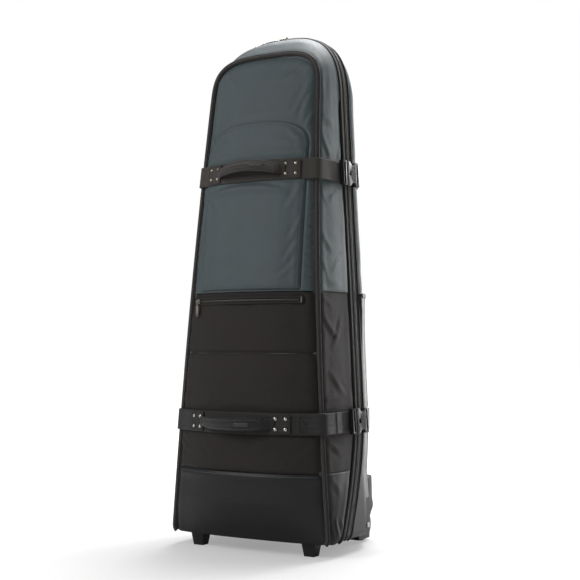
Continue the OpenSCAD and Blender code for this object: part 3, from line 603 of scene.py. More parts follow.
def pocket_relief(x, z):
    dp = pocket_edge(x, z)
    o = 1.0 * noise(x, z, 150, 11) + 0.7 * noise(x, z, 58, 12) + 0.22 * noise(x - 0.3 * z, z, 21, 13)
    o = o + 1.5 * smooth(dp / 60) + 1.3 * bell(dp - 13, 8)
    o = add_folds(o, x, z, (((-136, 975), (-70, 1002), 7, 1.6), ((-138, 950), (-84, 968), 8, 1.3),
                         ((-138, 990), (-104, 1012), 5, 1.1), ((128, 975), (90, 1000), 6, 0.9),
                         ((-132, 868), (-92, 812), 8, 1.5), ((-138, 840), (-112, 770), 7, 1.1),
                         ((134, 872), (96, 800), 7, 1.2), ((138, 800), (112, 720), 6, 1.1),
                         ((136, 735), (104, 672), 6, 1.0), ((-137, 720), (-108, 655), 7, 1.0),
                         ((-60, 660), (40, 634), 9, 0.8), ((138, 690), (84, 640), 6, 0.9),
                         ((-138, 790), (-118, 735), 5, 0.9), ((40, 990), (110, 958), 9, 0.7)))
    o = strap_press(z, UPPER_Z, o)
    crest = 870 - 17 * ((x + 12) / 112) ** 2
    span = smooth((x + 132) / 26) * smooth((112 - x) / 34)
    o = o + span * (2.1 * bell(z - crest + 8, 8) - 2.0 * bell(z - crest - 5, 4.5))
    o = o - 2.4 * bell(z - (SPLIT_Z + 6), 5)
    return o * smooth(dp / 7) - 2.6 * (1 - smooth(dp / 3.2))


def mid_relief(x, z):
    w = side_w(z) - PIPING_IN
    d = w - np.abs(x)
    o = 1.1 * noise(x, z, 140, 21) + 0.6 * noise(x, z, 52, 22) + 0.2 * noise(x, z, 20, 23)
    o = o + np.where(z > MID_SEAM_Z, 2.0 * np.sin(np.pi * np.clip((z - MID_SEAM_Z) / 106, 0, 1)),
                     2.3 * np.sin(np.pi * np.clip((z - 330) / 138, 0, 1)))
    o = add_folds(o, x, z, (((-198, 352), (-146, 372), 7, 2.3), ((-200, 332), (-150, 340), 6, 1.8),
                         ((-197, 398), (-160, 424), 8, 1.6), ((-199, 282), (-148, 262), 7, 2.1),
                         ((-198, 258), (-152, 232), 7, 1.6), ((-196, 456), (-168, 436), 6, 1.3),
                         ((-110, 272), (-52, 228), 9, 1.2), ((96, 268), (38, 232), 9, 1.0),
                         ((-104, 340), (-40, 372), 9, 1.0), ((110, 342), (60, 380), 9, 0.9),
                         ((190, 360), (140, 392), 7, 1.0), ((188, 430), (150, 452), 6, 0.9),
                         ((-188, 560), (-156, 528), 7, 1.2), ((-186, 520), (-160, 484), 6, 1.1),
                         ((186, 560), (150, 540), 6, 0.8), ((190, 262), (150, 230), 7, 1.0)))
    o = o - 3.2 * bell(d, 6) + 1.2 * bell(d - 18, 11)
    o = strap_press(z, LOWER_Z, o)
    o = o - 3.4 * bell(z - MID_SEAM_Z, 2.6) - 1.0 * bell(z - MID_SEAM_Z, 9)
    o = o - 3.0 * bell(z - SPLIT_Z, 5) - 2.6 * bell(z - SKID_Z, 4.5)
    slit = smooth((158 - np.abs(x)) / 8)
    return o * (1 - slit * bell(z - ZIP_Z, 14)) - slit * (1.6 * bell(z - ZIP_Z, 9))


def skid_relief(x, z):
    w = side_w(z) - PIPING_IN
    d = w - np.abs(x)
    o = 1.0 * noise(x, z, 160, 31) + 0.35 * noise(x, z, 60, 32)
    o = o - 3.0 * bell(d, 6) + 1.0 * bell(d - 18, 11) + 2.2 * bell(z - 90, 40)
    return o - 2.6 * bell(z - SKID_Z, 4.5) + 1.3 * bell(z - (SKID_Z - 13), 8)


def front_panel(name, node, z, w, relief, skin, slot, across=124):
    outer = front_grid(z, w, across, 0, relief)
    inner = front_grid(z, w, across, -SKIN, lambda x, zz: 0 * x)
    piece = place(shell(name, outer, inner, [skin, M["lining"]]), "lid", slot, node)
    return piece


z_side = np.linspace(SPLIT_Z + 0.3, SPRING_Z, 140)
a_arch = angles(2, 86, 46)
z_arch = SPRING_Z + ARCH_RISE * np.sin(a_arch) ** (2 / ARCH_POWER)
w_arch = (side_w(z_arch) - PIPING_IN) * np.cos(a_arch) ** (2 / ARCH_POWER)
front_panel("panel_upper", "lid_panel_upper", join(z_side, z_arch),
            join(side_w(z_side) - PIPING_IN, w_arch), upper_relief, M["slate"], "slate_nylon")
z_mid = np.linspace(SKID_Z + 0.3, SPLIT_Z - 0.3, 132)
front_panel("panel_mid", "lid_panel_mid", z_mid, side_w(z_mid) - PIPING_IN, mid_relief, M["black"],
            "black_nylon")
z_low = join(np.linspace(34, EDGE_Z, 8)[:-1], np.linspace(EDGE_Z, SKID_Z - 0.3, 46))
front_panel("panel_skid", "lid_skid_panel", z_low, side_w(z_low) - PIPING_IN, skid_relief, M["skid"],
            "coated_fabric")

z_pocket = np.linspace(SPLIT_Z + 6, POCKET_SPRING, 110)
a_pocket = angles(2, 87, 40)
zp = join(z_pocket, POCKET_SPRING + POCKET_RISE * np.sin(a_pocket) ** (2 / 3))
wp = join(np.full(110, POCKET_HALF), POCKET_HALF * np.cos(a_pocket) ** (2 / 3))
pocket = shell("pocket", front_grid(zp, wp, 104, 3.2, pocket_relief),
               front_grid(zp, wp, 104, 0.3, lambda x, z: 0 * x), [M["slate"], M["lining"]])
place(pocket, "lid", "slate_nylon", "lid_pocket")


def on_face(x, z, lift=0.0):
    """Points on the front's face, in front of it by lift."""
    x, z = np.asarray(x, float), np.asarray(z, float)
    return cols(x, front_face(x, z) - lift, z)


def pocket_seam(step_in, relief_lift):
    a = angles(0, 90, 40)
    half = POCKET_HALF - step_in
    side = [(half, z) for z in np.linspace(SPLIT_Z + 12, POCKET_SPRING, 60)]
    arch = [(half * cos(t) ** (2 / 3), POCKET_SPRING + (POCKET_RISE - step_in) * sin(t) ** (2 / 3))
            for t in a[1:-1]] + [(0, POCKET_SPRING + POCKET_RISE - step_in)]
    right = np.array(side + arch)
    line = join(right, right[-2::-1] * [-1, 1])
    p = on_face(line[:, 0], line[:, 1])
    p[:, 1] -= 3.2 + pocket_relief(line[:, 0], line[:, 1]) + relief_lift
    return resample(p, 400)


sew("pocket_stitches", pocket_seam(5.5, -0.1), "thread", "slate_nylon", r=0.5)

x = np.linspace(-205, 205, 160)
keep = np.abs(x) < side_w(SKID_Z - 7) - PIPING_IN - 3
line = on_face(x[keep], np.full(keep.sum(), SKID_Z - 7.0))
line[:, 1] -= skid_relief(line[:, 0], line[:, 2]) + 0.1
sew("skid_stitches", line, "thread", "coated_fabric", r=0.5)
for k, (zz, relief) in enumerate(((SPLIT_Z - 6.5, mid_relief), (MID_SEAM_Z + 4.5, mid_relief))):
    x = np.linspace(-172, 172, 140)
    line = on_face(x, np.full(140, zz))
    line[:, 1] -= relief(line[:, 0], line[:, 2]) + 0.05
    sew(f"panel_stitches_{k}", line, "thread_dark", "black_nylon")

# pocket zipper: tape between two cloth lips, ribbed coil and bar tacks
ARC_MID = float(front_face(0, ZIP_Z)) - 3.2
ARC_DROP = float(front_face(ZIP_HALF, ZIP_Z)) - 3.2 - ARC_MID
ARC_R = (ZIP_HALF**2 + ARC_DROP**2) / (2 * ARC_DROP)


def arc_y(x, out):
    return ARC_MID + ARC_R - np.sqrt((ARC_R + out) ** 2 - np.asarray(x) ** 2)


x = np.linspace(-ZIP_HALF, ZIP_HALF, 120)
zt = np.linspace(ZIP_Z - 7.5, ZIP_Z + 7.5, 9)
X, Z = np.meshgrid(x, zt, indexing="ij")
tape_out = cols(X, arc_y(X, -0.4 * bell(np.abs(Z - ZIP_Z) - 7, 1.5)), Z)
tape_in = cols(X, np.maximum(front_face(X, Z) + 0.8, arc_y(X, 0) + 1.4), Z)
place(shell("pocket_zip_tape", tape_out, tape_in, [M["tape"]]), "lid", "zip_tape", "pocket_zip")
x = np.linspace(-ZIP_HALF + 7, ZIP_HALF - 7, 420)
line = cols(x, arc_y(x, 0.7), np.full(420, ZIP_Z))
wave = 1 + 0.16 * np.sin(np.arange(420) * pi / 2)
prof = disc(2.4, 10, 0.5)[None] * wave[:, None, None]
place(tube("pocket_zip_coil", line, prof, [M["coil"]], FRONT), "lid", "zip_tape")
for k, dz in enumerate((-6.2, 6.2)):
    x = np.linspace(-ZIP_HALF - 1, ZIP_HALF + 1, 120)
    line = cols(x, arc_y(x, 0.5) - 0.2 * np.sin(x / 9), np.full(120, ZIP_Z + dz))
    place(tube(f"pocket_zip_lip_{k}", line, disc(3.0, 12, 0.62), [M["black"]], FRONT), "lid", "black_nylon")
    line = line[4:-4] + [0, -1.5, -0.9 if dz > 0 else 0.9]
    sew(f"lip_stitches_{k}", line, "thread_dark", "black_nylon", r=0.35)
for k, s in enumerate((-1, 1)):
    z = np.linspace(ZIP_Z - 7, ZIP_Z + 7, 12)
    line = cols(np.full(12, s * (ZIP_HALF - 1.5)), np.full(12, float(arc_y(ZIP_HALF - 1.5, 2.0))), z)
    mat = M["thread" if s > 0 else "thread_dark"]
    place(tube(f"bar_tack_{k}", line, disc(1.7, 10, 0.5), [mat], FRONT), "lid", "black_nylon")


# ---------------------------------------------------------------- side walls, welts and zipper
def sunk(p, depth):
    """Points lowered by depth over the top of the arch, where the zipper crowns the case."""
    return p - cols(0 * p[..., 0], 0 * p[..., 0], depth * smooth((p[..., 2] - 1120) / 110))


def cross(first, middle, last, s):
    """Crossing from a front line to a zipper line, softly bent at the middle line."""
    s, m = s[None, :, None], MID_PART
    soft = lambda u: 0.5 * (u + np.sqrt(u**2 + 0.02))
    bend = soft(s - m) - soft(-m) * (1 - s) - (soft(1 - m) - (1 - m)) * s
    first, middle, last = first[:, None], middle[:, None], last[:, None]
    near, far = (middle - first) / m, (last - middle) / (1 - m)
    return first + near * s + (far - near) * bend


def wall_relief(p, seed, folds):
    """Relief of a side wall: dips at its two long seams, soft waves and folds as [depth from the front, z]."""
    q = row_lengths(p)
    depth = q[:, -1:]
    run = lengths(p[:, 0])[:, None] + 0 * q
    z = p[:, :, 2]
    o = 1.2 * noise(q, run, 120, seed) + 0.7 * noise(q, run, 48, seed + 1) + 0.2 * noise(q, run, 18, seed + 2)
    o = o - 2.6 * bell(q, 6) - 2.6 * bell(depth - q, 6)
    o = o + 1.0 * bell(q - 17, 10) + 0.8 * bell(depth - q - 17, 10)
    right = p[:, :, 0] > 0
    for a, b, w, h in folds:
        o = o + fold(q, z, a, b, w, h) * np.where(right, 1, 0.7)
    o = o * np.where(z > ZIP_SPRING_Z, smooth((depth - q) / 50), 1)
    press = 0 * z
    for centre in (UPPER_Z, LOWER_Z):
        press = press + under_strap(z, centre) * (z < ZIP_SPRING_Z)
    return o * (1 - press) - 0.7 * press


def side_wall(name, node, lo, hi, skin, slot, seed, folds):
    s = np.linspace(0, 1, 26)
    s = 0.7 * s + 0.3 * (0.5 - 0.5 * np.cos(pi * s))
    layers = []
    for t in (0, SKIN):
        if hi is None:
            lines = [rail(inset(r, t), lo) for r in (FRONT_RING, MID_RING, ZIP_RING)]
            count = max(len(v) for v in lines)
            lines = [resample(v, count) for v in lines]
        else:
            low = np.linspace(lo, EDGE_Z, 8)[:-1] if lo < EDGE_Z else []
            z = join(low, np.linspace(max(lo, EDGE_Z), hi, int((hi - lo) / 4)))
            lines = [cols(side_w(z) + r[0] - t, z) for r in (FRONT_RING, MID_RING, ZIP_RING)]
        a = at_front(lines[0], FRONT_EDGE)
        c = sunk(at_zip(lines[2], -ZIP_EDGE), LID_SINK)
        mx, mz = lines[1].T
        m = cols(mx, (1 - MID_PART) * front_y(mz) + MID_PART * (zip_y(mz) - TAPE_HALF), mz)
        layers.append(cross(a, m, c, s))
    outer, inner = layers
    out = normals(outer, cols(outer[:, :, 0], 0 * outer[:, :, 0], np.clip(outer[:, :, 2] - 1050, 0, None)))
    outer = outer + out * wall_relief(outer, seed, folds)[..., None]
    for side in ((1,) if hi is None else (1, -1)):
        suffix = "" if hi is None else "_right" if side > 0 else "_left"
        flip = np.array([side, 1, 1])
        piece = shell(name + suffix, outer * flip, inner * flip, [skin, M["lining"]])
        place(piece, "lid", slot, node)


side_wall("wall_upper", "lid_gusset_upper", SPLIT_Z + 0.3, None, M["slate"], "slate_nylon", 41,
          (((8, 985), (60, 930), 7, 1.6), ((12, 1040), (70, 1010), 8, 1.3), ((90, 870), (40, 820), 7, 1.3),
           ((10, 760), (55, 700), 7, 1.3), ((100, 700), (50, 660), 7, 1.2), ((20, 650), (90, 622), 8, 1.2),
           ((110, 1000), (80, 920), 6, 1.0), ((6, 860), (40, 812), 5, 1.2), ((8, 690), (38, 640), 5, 1.1)))
side_wall("wall_mid", "lid_gusset_mid", SKID_Z + 0.3, SPLIT_Z - 0.3, M["black"], "black_nylon", 51,
          (((10, 560), (80, 500), 8, 1.8), ((100, 560), (40, 470), 7, 1.5), ((20, 430), (90, 380), 8, 1.4),
           ((8, 350), (60, 372), 6, 1.3), ((100, 360), (60, 400), 7, 1.2), ((10, 262), (70, 235), 7, 1.5),
           ((8, 600), (50, 575), 6, 1.0)))
side_wall("wall_skid", "lid_gusset_skid", 32, SKID_Z - 0.3, M["skid"], "coated_fabric", 61,
          (((12, 112), (16, 36), 6, 2.2), ((26, 100), (34, 36), 6, 1.6), ((10, 180), (60, 150), 8, 1.2),
           ((50, 90), (44, 40), 7, 1.3)))

ring_line = at_front(rail(inset(FRONT_RING, 1), 34, 6))
for name, side, out, r, mat in (("piping_cover", 0, 1.2, 3.3, "bind"),
                                ("piping_edge_in", 4.3, -0.3, 2.5, "bind_dark"),
                                ("piping_edge_out", -4.3, -0.3, 2.5, "bind_dark")):
    piece = tube(name, ring_line, disc(r, 12) + [side, out], [M[mat]], FRONT)
    place(piece, "lid", "piping_trim", *(["front_piping"] if r > 3 else []))
for s in (-1, 1):
    line = ring_line + [0, -3.9, 0]
    ahead = np.gradient(line, axis=0)
    inward = np.cross(unit(ahead), FRONT)
    sew(f"piping_stitches_{'in' if s > 0 else 'out'}", line + s * 2.0 * inward + [0, 0.5, 0], "thread",
        "piping_trim", length=2.6, pitch=6.5, r=0.3)
for name, node, body, shift, sink, r in (("welt_lid", "lid_welt", "lid", -TAPE_HALF, LID_SINK, LID_WELT_R),
                                         ("welt_rear", "rear_welt", "case", TAPE_HALF, REAR_SINK, WELT_R)):
    line = sunk(at_zip(rail(inset(ZIP_RING, 1), 32, 5), shift), sink)
    place(tube(name, line, disc(r, 12), [M["bind_dark"]], (0, 1, 0)), body, "piping_trim", node)

for name, body, node, d in (("zip_lid", "lid", "zip_tape_lid", -1), ("zip_rear", "case", "zip_tape_rear", 1)):
    steps = np.linspace(5.3, TAPE_HALF - WELT_R - 0.3, 5) * d
    slope = [(LID_SINK if d < 0 else REAR_SINK) * (abs(v) - 5.3) / 13 for v in steps]
    outer = np.stack([sunk(at_zip(rail(inset(ZIP_RING, 0.5 + 0.5 * bell(abs(v) - 12, 6)), 32, 6), v), k)
                      for v, k in zip(steps, slope)], 1)
    inner = np.stack([sunk(at_zip(rail(inset(ZIP_RING, 2.2), 32, 6), v), k) for v, k in zip(steps, slope)], 1)
    place(shell(name + "_tape", outer, inner, [M["tape"]]), body, "zip_tape", node)
    line = at_zip(resample(rail(inset(ZIP_RING, 0.3), 34, 3), 2900), 2.7 * d)
    ahead = np.gradient(line, axis=0)
    out = np.cross((0, 1, 0), ahead)
    tooth = 1 + 0.2 * np.where(np.arange(2900) % 4 < 2, 1, -1)
    piece = tube(name + "_coil", line, disc(2.3, 8, 0.72)[None] * tooth[:, None, None], [M["coil"]], -out)
    place(piece, body, "zip_tape")


# ---------------------------------------------------------------- rear half
def rear_ring(a, t):
    c = cos(radians(a))
    top = REAR_TOP - REAR_ARCH_R + (REAR_ARCH_R - t) * c
    return (SIDE_BULGE - REAR_R + (REAR_R - t) * c, top, ZIP_SPRING_Z, REAR_POWER)


def rear_lines(t, count):
    start = resample(rail(inset(ZIP_RING, t), SPLIT_Z + 0.3), count)
    lines = [at_zip(start, ZIP_EDGE)]
    for a in range(0, 91, 6):
        line = resample(rail(rear_ring(a, t), SPLIT_Z + 0.3), count)
        y = BACK_Y - REAR_R + (REAR_R - t) * sin(radians(a))
        lines.append(cols(line[:, 0], np.full(count, y), line[:, 1]))
    first = [lines[0] + (lines[1] - lines[0]) * k for k in np.linspace(0, 1, 4)[:-1]]
    return np.stack(first + lines[1:], 1)


outer, inner = rear_lines(0, 300), rear_lines(SKIN, 300)
centre = cols(outer[:, :, 0], outer[:, :, 1] - 60, np.clip(outer[:, :, 2] - 1050, 0, None))
q = np.cumsum(np.linalg.norm(np.diff(outer, axis=1, prepend=outer[:, :1]), axis=2), 1)
run = np.cumsum(np.linalg.norm(np.diff(outer[:, 0], axis=0, prepend=outer[:1, 0]), axis=1))[:, None] + 0 * q
relief = 1.0 * noise(q, run, 110, 71) + 0.6 * noise(q, run, 45, 72) + 0.2 * noise(q, run, 18, 73)
relief = relief - 2.2 * bell(q, 6) + 1.2 * bell(q - 17, 9)
relief = relief * smooth((q[:, -1:] - q) / 8)
z = outer[:, :, 2]
press = under_strap(z, UPPER_Z) * (z < ZIP_SPRING_Z)
relief = relief * (1 - press) - 0.5 * press - 1.5 * bell(z - SPLIT_Z, 8)
outer = outer + normals(outer, centre) * relief[..., None]
piece = shell("wall_rear", outer, inner, [M["slate"], M["lining"]])
place(piece, "case", "slate_nylon", "rear_gusset")

edge = rail(inset(rear_ring(90, 0), 0.3), SPLIT_Z + 0.3)
rows = 90
zz = np.linspace(SPLIT_Z + 0.3, edge[:, 1].max() - 0.4, rows)
half = edge[: len(edge) // 2 + 1]
wz = np.interp(zz, half[:, 1], half[:, 0])
t = np.linspace(-1, 1, 70)
X = wz[:, None] * t[None]
Z = zz[:, None] + 0 * X
near = np.minimum(wz[:, None] - np.abs(X), zz[-1] - Z + 2)
puff = 1.0 * noise(X, Z, 130, 81) + 0.4 * noise(X, Z, 50, 82) + 1.5 * smooth(near / 40) - 1.6 * bell(near, 5)
puff = puff * (1 - under_strap(Z, UPPER_Z) * smooth((np.abs(X) + 200) / 10)) * 0.6
outer = cols(X, BACK_Y + puff, Z)
inner = cols(X, BACK_Y - SKIN + 0 * X, Z)
piece = shell("panel_back", outer, inner, [M["slate"], M["lining"]])
place(piece, "case", "slate_nylon", "back_panel")


def boot_corner(z):
    return np.minimum(BOOT_R, BACK_Y - zip_y(z) - ZIP_EDGE - 4)


def boot_flare(z):
    return 7 * (np.clip(z - FLARE_Z, 0, None) / (SPLIT_Z - FLARE_Z)) ** 2


def boot_grid(z, t):
    """Open line round the boot from its right front edge to its left one, for each height."""
    r = boot_corner(z)
    w = side_w(z) + SIDE_BULGE + boot_flare(z) - t
    cy = BACK_Y - r
    front = cols(w - 0.8 * boot_flare(z), zip_y(z) + ZIP_EDGE)
    turn = [cols(w + t - r + (r - t) * cos(a), cy + (r - t) * sin(a))
            for a in angles(0, 90, 22)]
    wall = [front + (turn[0] - front) * k for k in np.linspace(0, 1, 7)[:-1]]
    back = [turn[-1] * [k, 1] for k in np.linspace(1, 0, 12)[1:]]
    right = np.stack(wall + turn + back, 1)
    line = np.concatenate([right, right[:, -2::-1] * [-1, 1]], 1)
    return np.concatenate([line, np.repeat(z[:, None, None], line.shape[1], 1)], 2)


z_boot = join(np.linspace(32, EDGE_Z, 9)[:-1], np.linspace(EDGE_Z, SPLIT_Z - 0.3, 90))
outer, inner = boot_grid(z_boot, 0), boot_grid(z_boot, 4)
wavy = 0.5 * noise(outer[:, :, 0] + outer[:, :, 1], outer[:, :, 2], 140, 91)
outer = outer + normals(outer, outer - [0, 60, 300]) * wavy[..., None]
piece = shell("boot", outer, inner, [M["boot"]])
for s in (-1, 1):
    # the notch for the wheel housing; its front leans back
    side_view = [(NOTCH_LOW_Y, -1), (NOTCH_Y, NOTCH_Z), (OUTSIDE, NOTCH_Z), (OUTSIDE, -1)]
    corners = [(s * nx, ny, nz) for nx in (NOTCH_X, OUTSIDE) for ny, nz in side_view]
    cutter = finish_mesh("cutter", corners, [(0, 1, 2, 3), (4, 5, 6, 7)] +
                         [(k, (k + 1) % 4, 4 + (k + 1) % 4, 4 + k) for k in range(4)])
    mod = piece.modifiers.new("notch", "BOOLEAN")
    mod.operation, mod.solver, mod.object = "DIFFERENCE", "EXACT", cutter
    bpy.context.view_layer.update()
    done = bpy.data.meshes.new_from_object(piece.evaluated_get(bpy.context.evaluated_depsgraph_get()))
    piece.modifiers.clear()
    piece.data = done
    bpy.data.objects.remove(cutter)
shade_smooth(piece.data, 40)
place(piece, "case", "boot_plastic", "rear_boot")
# webs that close the boot's wall to the wheel housings, along the notches' front edges
z = np.linspace(40, NOTCH_Z, 12)
edge_x = side_w(z) + SIDE_BULGE - 0.6
for s in (-1, 1):
    faces = []
    for back in (-2.6, -0.1):
        y = NOTCH_LOW_Y + (NOTCH_Y - NOTCH_LOW_Y) * (z + 1) / (NOTCH_Z + 1) + back
        rows = [cols(s * (WEB_X + (edge_x - WEB_X) * k), y, z) for k in (0, 0.5, 1)]
        faces.append(np.stack(rows, 1))
    place(shell(f"boot_web_{'right' if s > 0 else 'left'}", faces[1], faces[0], [M["boot"]], 40), "case",
          "boot_plastic")
rim = boot_grid(np.array([SPLIT_Z - 5.0]), 1.5)[0]
rim = resample(rim, 260)
hint = cols(rim[:, 0], rim[:, 1] - 40, 0 * rim[:, 0])
a = circle(16)
prof = cols(6.5 * signed_power(np.cos(a), 0.8), 3.6 * np.sin(a))
place(tube("boot_rim", rim, prof, [M["boot"]], hint), "case", "boot_plastic")


# ---------------------------------------------------------------- straps
def band(name, lines, mats):
    """Webbing from lines(t, out), which gives the line at t across the width, -1 to 1, lifted by out."""
    t = np.array([-1, -0.99, -0.96, -0.88, -0.72, -0.45, 0, 0.45, 0.72, 0.88, 0.96, 0.99, 1])
    thick = WEB_T * np.array([0.55, 0.8, 1.05, 1.08, 0.94, 1, 0.98, 1, 0.94, 1.08, 1.05, 0.8, 0.55])
    low = WEB_T * np.array([0.45, 0.2, 0, 0, 0, 0, 0, 0, 0, 0, 0, 0.2, 0.45])
    outer = np.stack([lines(a, b) for a, b in zip(t, thick)], 1)
    inner = np.stack([lines(a, b) for a, b in zip(t, low)], 1)
    return shell(name, outer, inner, mats)


def plug_front(z):
    return 17 if z > SPLIT_Z else -4


def front_web(zc, t, out, x_from=0.0, y_to=None):
    """Right half of a front strap: across the front's face, round the corner and back to the buckle."""
    z = zc + t * WEB_W / 2
    w = float(side_w(z))
    fy = float(front_y(z))
    pts = [(v, float(front_face(v, z)) - STRAP_LIFT - out) for v in np.linspace(0, w - 28, 14)]
    pts += [(w - 14, float(front_face(w - 14, z)) - 6 - out), (w + 2 + out / 2, fy - 9 - out / 2),
            (w + 9 + out, fy + 2)]
    end = plug_front(zc) + 19 if y_to is None else y_to
    side_x = w + SIDE_BULGE + SIDE_LIFT + out
    pts += [(w + 9 + 0.8 * (SIDE_BULGE + SIDE_LIFT - 9) + out, fy + 40), (side_x, end - 23), (side_x, end)]
    line = spline(pts, 8)
    line = line[line[:, 0] >= x_from]
    line = resample(line, 150)
    wobble = 0.35 * noise(line[:, 0] + line[:, 1], 0 * line[:, 0] + zc, 40, 101)
    line[:, 1] -= wobble * smooth((w - line[:, 0]) / 30)
    return np.concatenate([line, np.full((len(line), 1), z)], 1)


def whole_web(zc):
    def lines(t, out):
        right = front_web(zc, t, out)
        return join((right * [-1, 1, 1])[:0:-1], right)
    return lines


def rear_web(zc):
    def lines(t, out):
        z = zc + t * WEB_W / 2
        r = REAR_R if z > SPLIT_Z else float(boot_corner(z))
        cx, cy = float(side_w(z)) + SIDE_BULGE - r, BACK_Y - r
        start = np.array([cx + r + SIDE_LIFT + 1.5 + out, plug_front(zc) + 20 + 60 - 8])
        end = start + [0, 6]
        away = hypot(end[0] - cx, end[1] - cy)
        touch = atan2(end[1] - cy, end[0] - cx) + acos((r + 1.5 + out) / away)
        turn = [(cx + (r + 1 + out) * cos(a), cy + (r + 1 + out) * sin(a))
                for a in np.linspace(touch, radians(88), 26)]
        right = np.array([start, end] + turn)
        line = resample(join(right, right[::-1] * [-1, 1]), 240)
        return np.concatenate([line, np.full((len(line), 1), z)], 1)
    return lines


for row, zc, mat in (("upper", UPPER_Z, M["web_up"]), ("lower", LOWER_Z, M["web_low"])):
    place(band("strap_" + row + "_look", whole_web(zc), [mat]), "lid", "webbing", "strap_" + row)
    place(band("strap_rear_" + row, rear_web(zc), [mat]), "case", "webbing", "rear_strap_" + row)
# the lower strap's end is turned back and sewn down with a box stitch on the right of the front
lap = band("strap_lap", lambda t, out: front_web(LOWER_Z, t * 0.985, out + WEB_T + 0.1, 150, -42),
           [M["web_low"]])
place(lap, "lid", "webbing")
pts = [(156, -1), (182, -1), (182, 1), (156, 1), (156, -1), (182, 1), (182, -1), (156, 1)]
pts = resample(np.array([(px, LOWER_Z + 17 * v) for px, v in pts], float), 200)
line = on_face(pts[:, 0], pts[:, 1], STRAP_LIFT + 2 * WEB_T + 0.45)
sew("strap_box", line, "thread_dark", "webbing", r=0.5)

wl = float(side_w(LOWER_Z))
deep, long, r = 12.3 - WEB_T, 30 - WEB_T, 4.4
a = np.linspace(0, pi / 2, 8)
corner = cols(np.cos(a), np.sin(a)) * r
loop = join(corner + [deep / 2 - r, long / 2 - r],
            cols(-corner[::-1, 0], corner[::-1, 1]) + [-deep / 2 + r, long / 2 - r],
            -corner + [-deep / 2 + r, -long / 2 + r],
            cols(corner[::-1, 0], -corner[::-1, 1]) + [deep / 2 - r, -long / 2 + r])
loop = resample(join(loop, loop[:1]), 73)[:-1]
foot_x = -wl - SIDE_BULGE - SIDE_LIFT - WEB_T - 0.6
cx = foot_x - WEB_T / 2 - deep / 2
line = cols(cx + loop[:, 0], -66 + WEB_T / 2 + long / 2 + loop[:, 1], np.full(72, float(LOWER_Z)))
hint = cols(loop[:, 0], loop[:, 1], 0 * loop[:, 0])
prof = np.array([(-25, -0.5), (-24.6, -1), (-10, -1.1), (10, -1.1), (24.6, -1), (25, -0.5),
                 (25, 0.5), (24.6, 1.0), (10, 1.1), (-10, 1.1), (-24.6, 1.0), (-25, 0.5)])
loop_look = tube("slack_loop", line, prof, [M["web_low"]], hint, closed=True, angle=50)
# the loop leans with the side wall
lean = atan(TAPER - 2 * TAPER_CURVE * LOWER_Z / 1e6)
foot = np.array([foot_x, 0, LOWER_Z])
p = np.array([v.co[:] for v in loop_look.data.vertices]) / MM - foot
p = cols(p[:, 0] * cos(lean) + p[:, 2] * sin(lean), p[:, 1],
         p[:, 2] * cos(lean) - p[:, 0] * sin(lean)) + foot
loop_look.data.vertices.foreach_set("co", (p * MM).ravel())
loop_look.data.update()
place(loop_look, "lid", "webbing", "strap_slack_loop")


# ---------------------------------------------------------------- patches, rivets and grips
GRIP_LEN, GRIP_BOW, GRIP_STAND = 168, 23, 5
PATCH, PATCH_LIFT = 46, STRAP_LIFT + WEB_T + 1.4
RIVET_AT, RIVET_SIDES = 12, 28


def face_frame(x, z, lift):
    """Origin and axes, across, up and outward, of the plane on the front's face at [x, z]."""
    turn = atan((float(front_face(x + 2, z)) - float(front_face(x - 2, z))) / 4)
    lean = atan(2 * FRONT_LEAN * z / 1e6)
    spin = np.array([[cos(turn), -sin(turn), 0], [sin(turn), cos(turn), 0], [0, 0, 1]])
    up = spin @ (0, sin(lean), cos(lean))
    out = spin @ (0, -cos(lean), sin(lean))
    return np.array([x, float(front_face(x, z)) - lift, z]), spin @ (1, 0, 0), up, out


def on_plane(frame4, p):
    o, ex, ey, ez = frame4
    return o + p[..., :1] * ex + p[..., 1:2] * ey + p[..., 2:] * ez


def grip_y(z):
    return float(front_face(0, z)) - STRAP_LIFT - WEB_T - GRIP_STAND


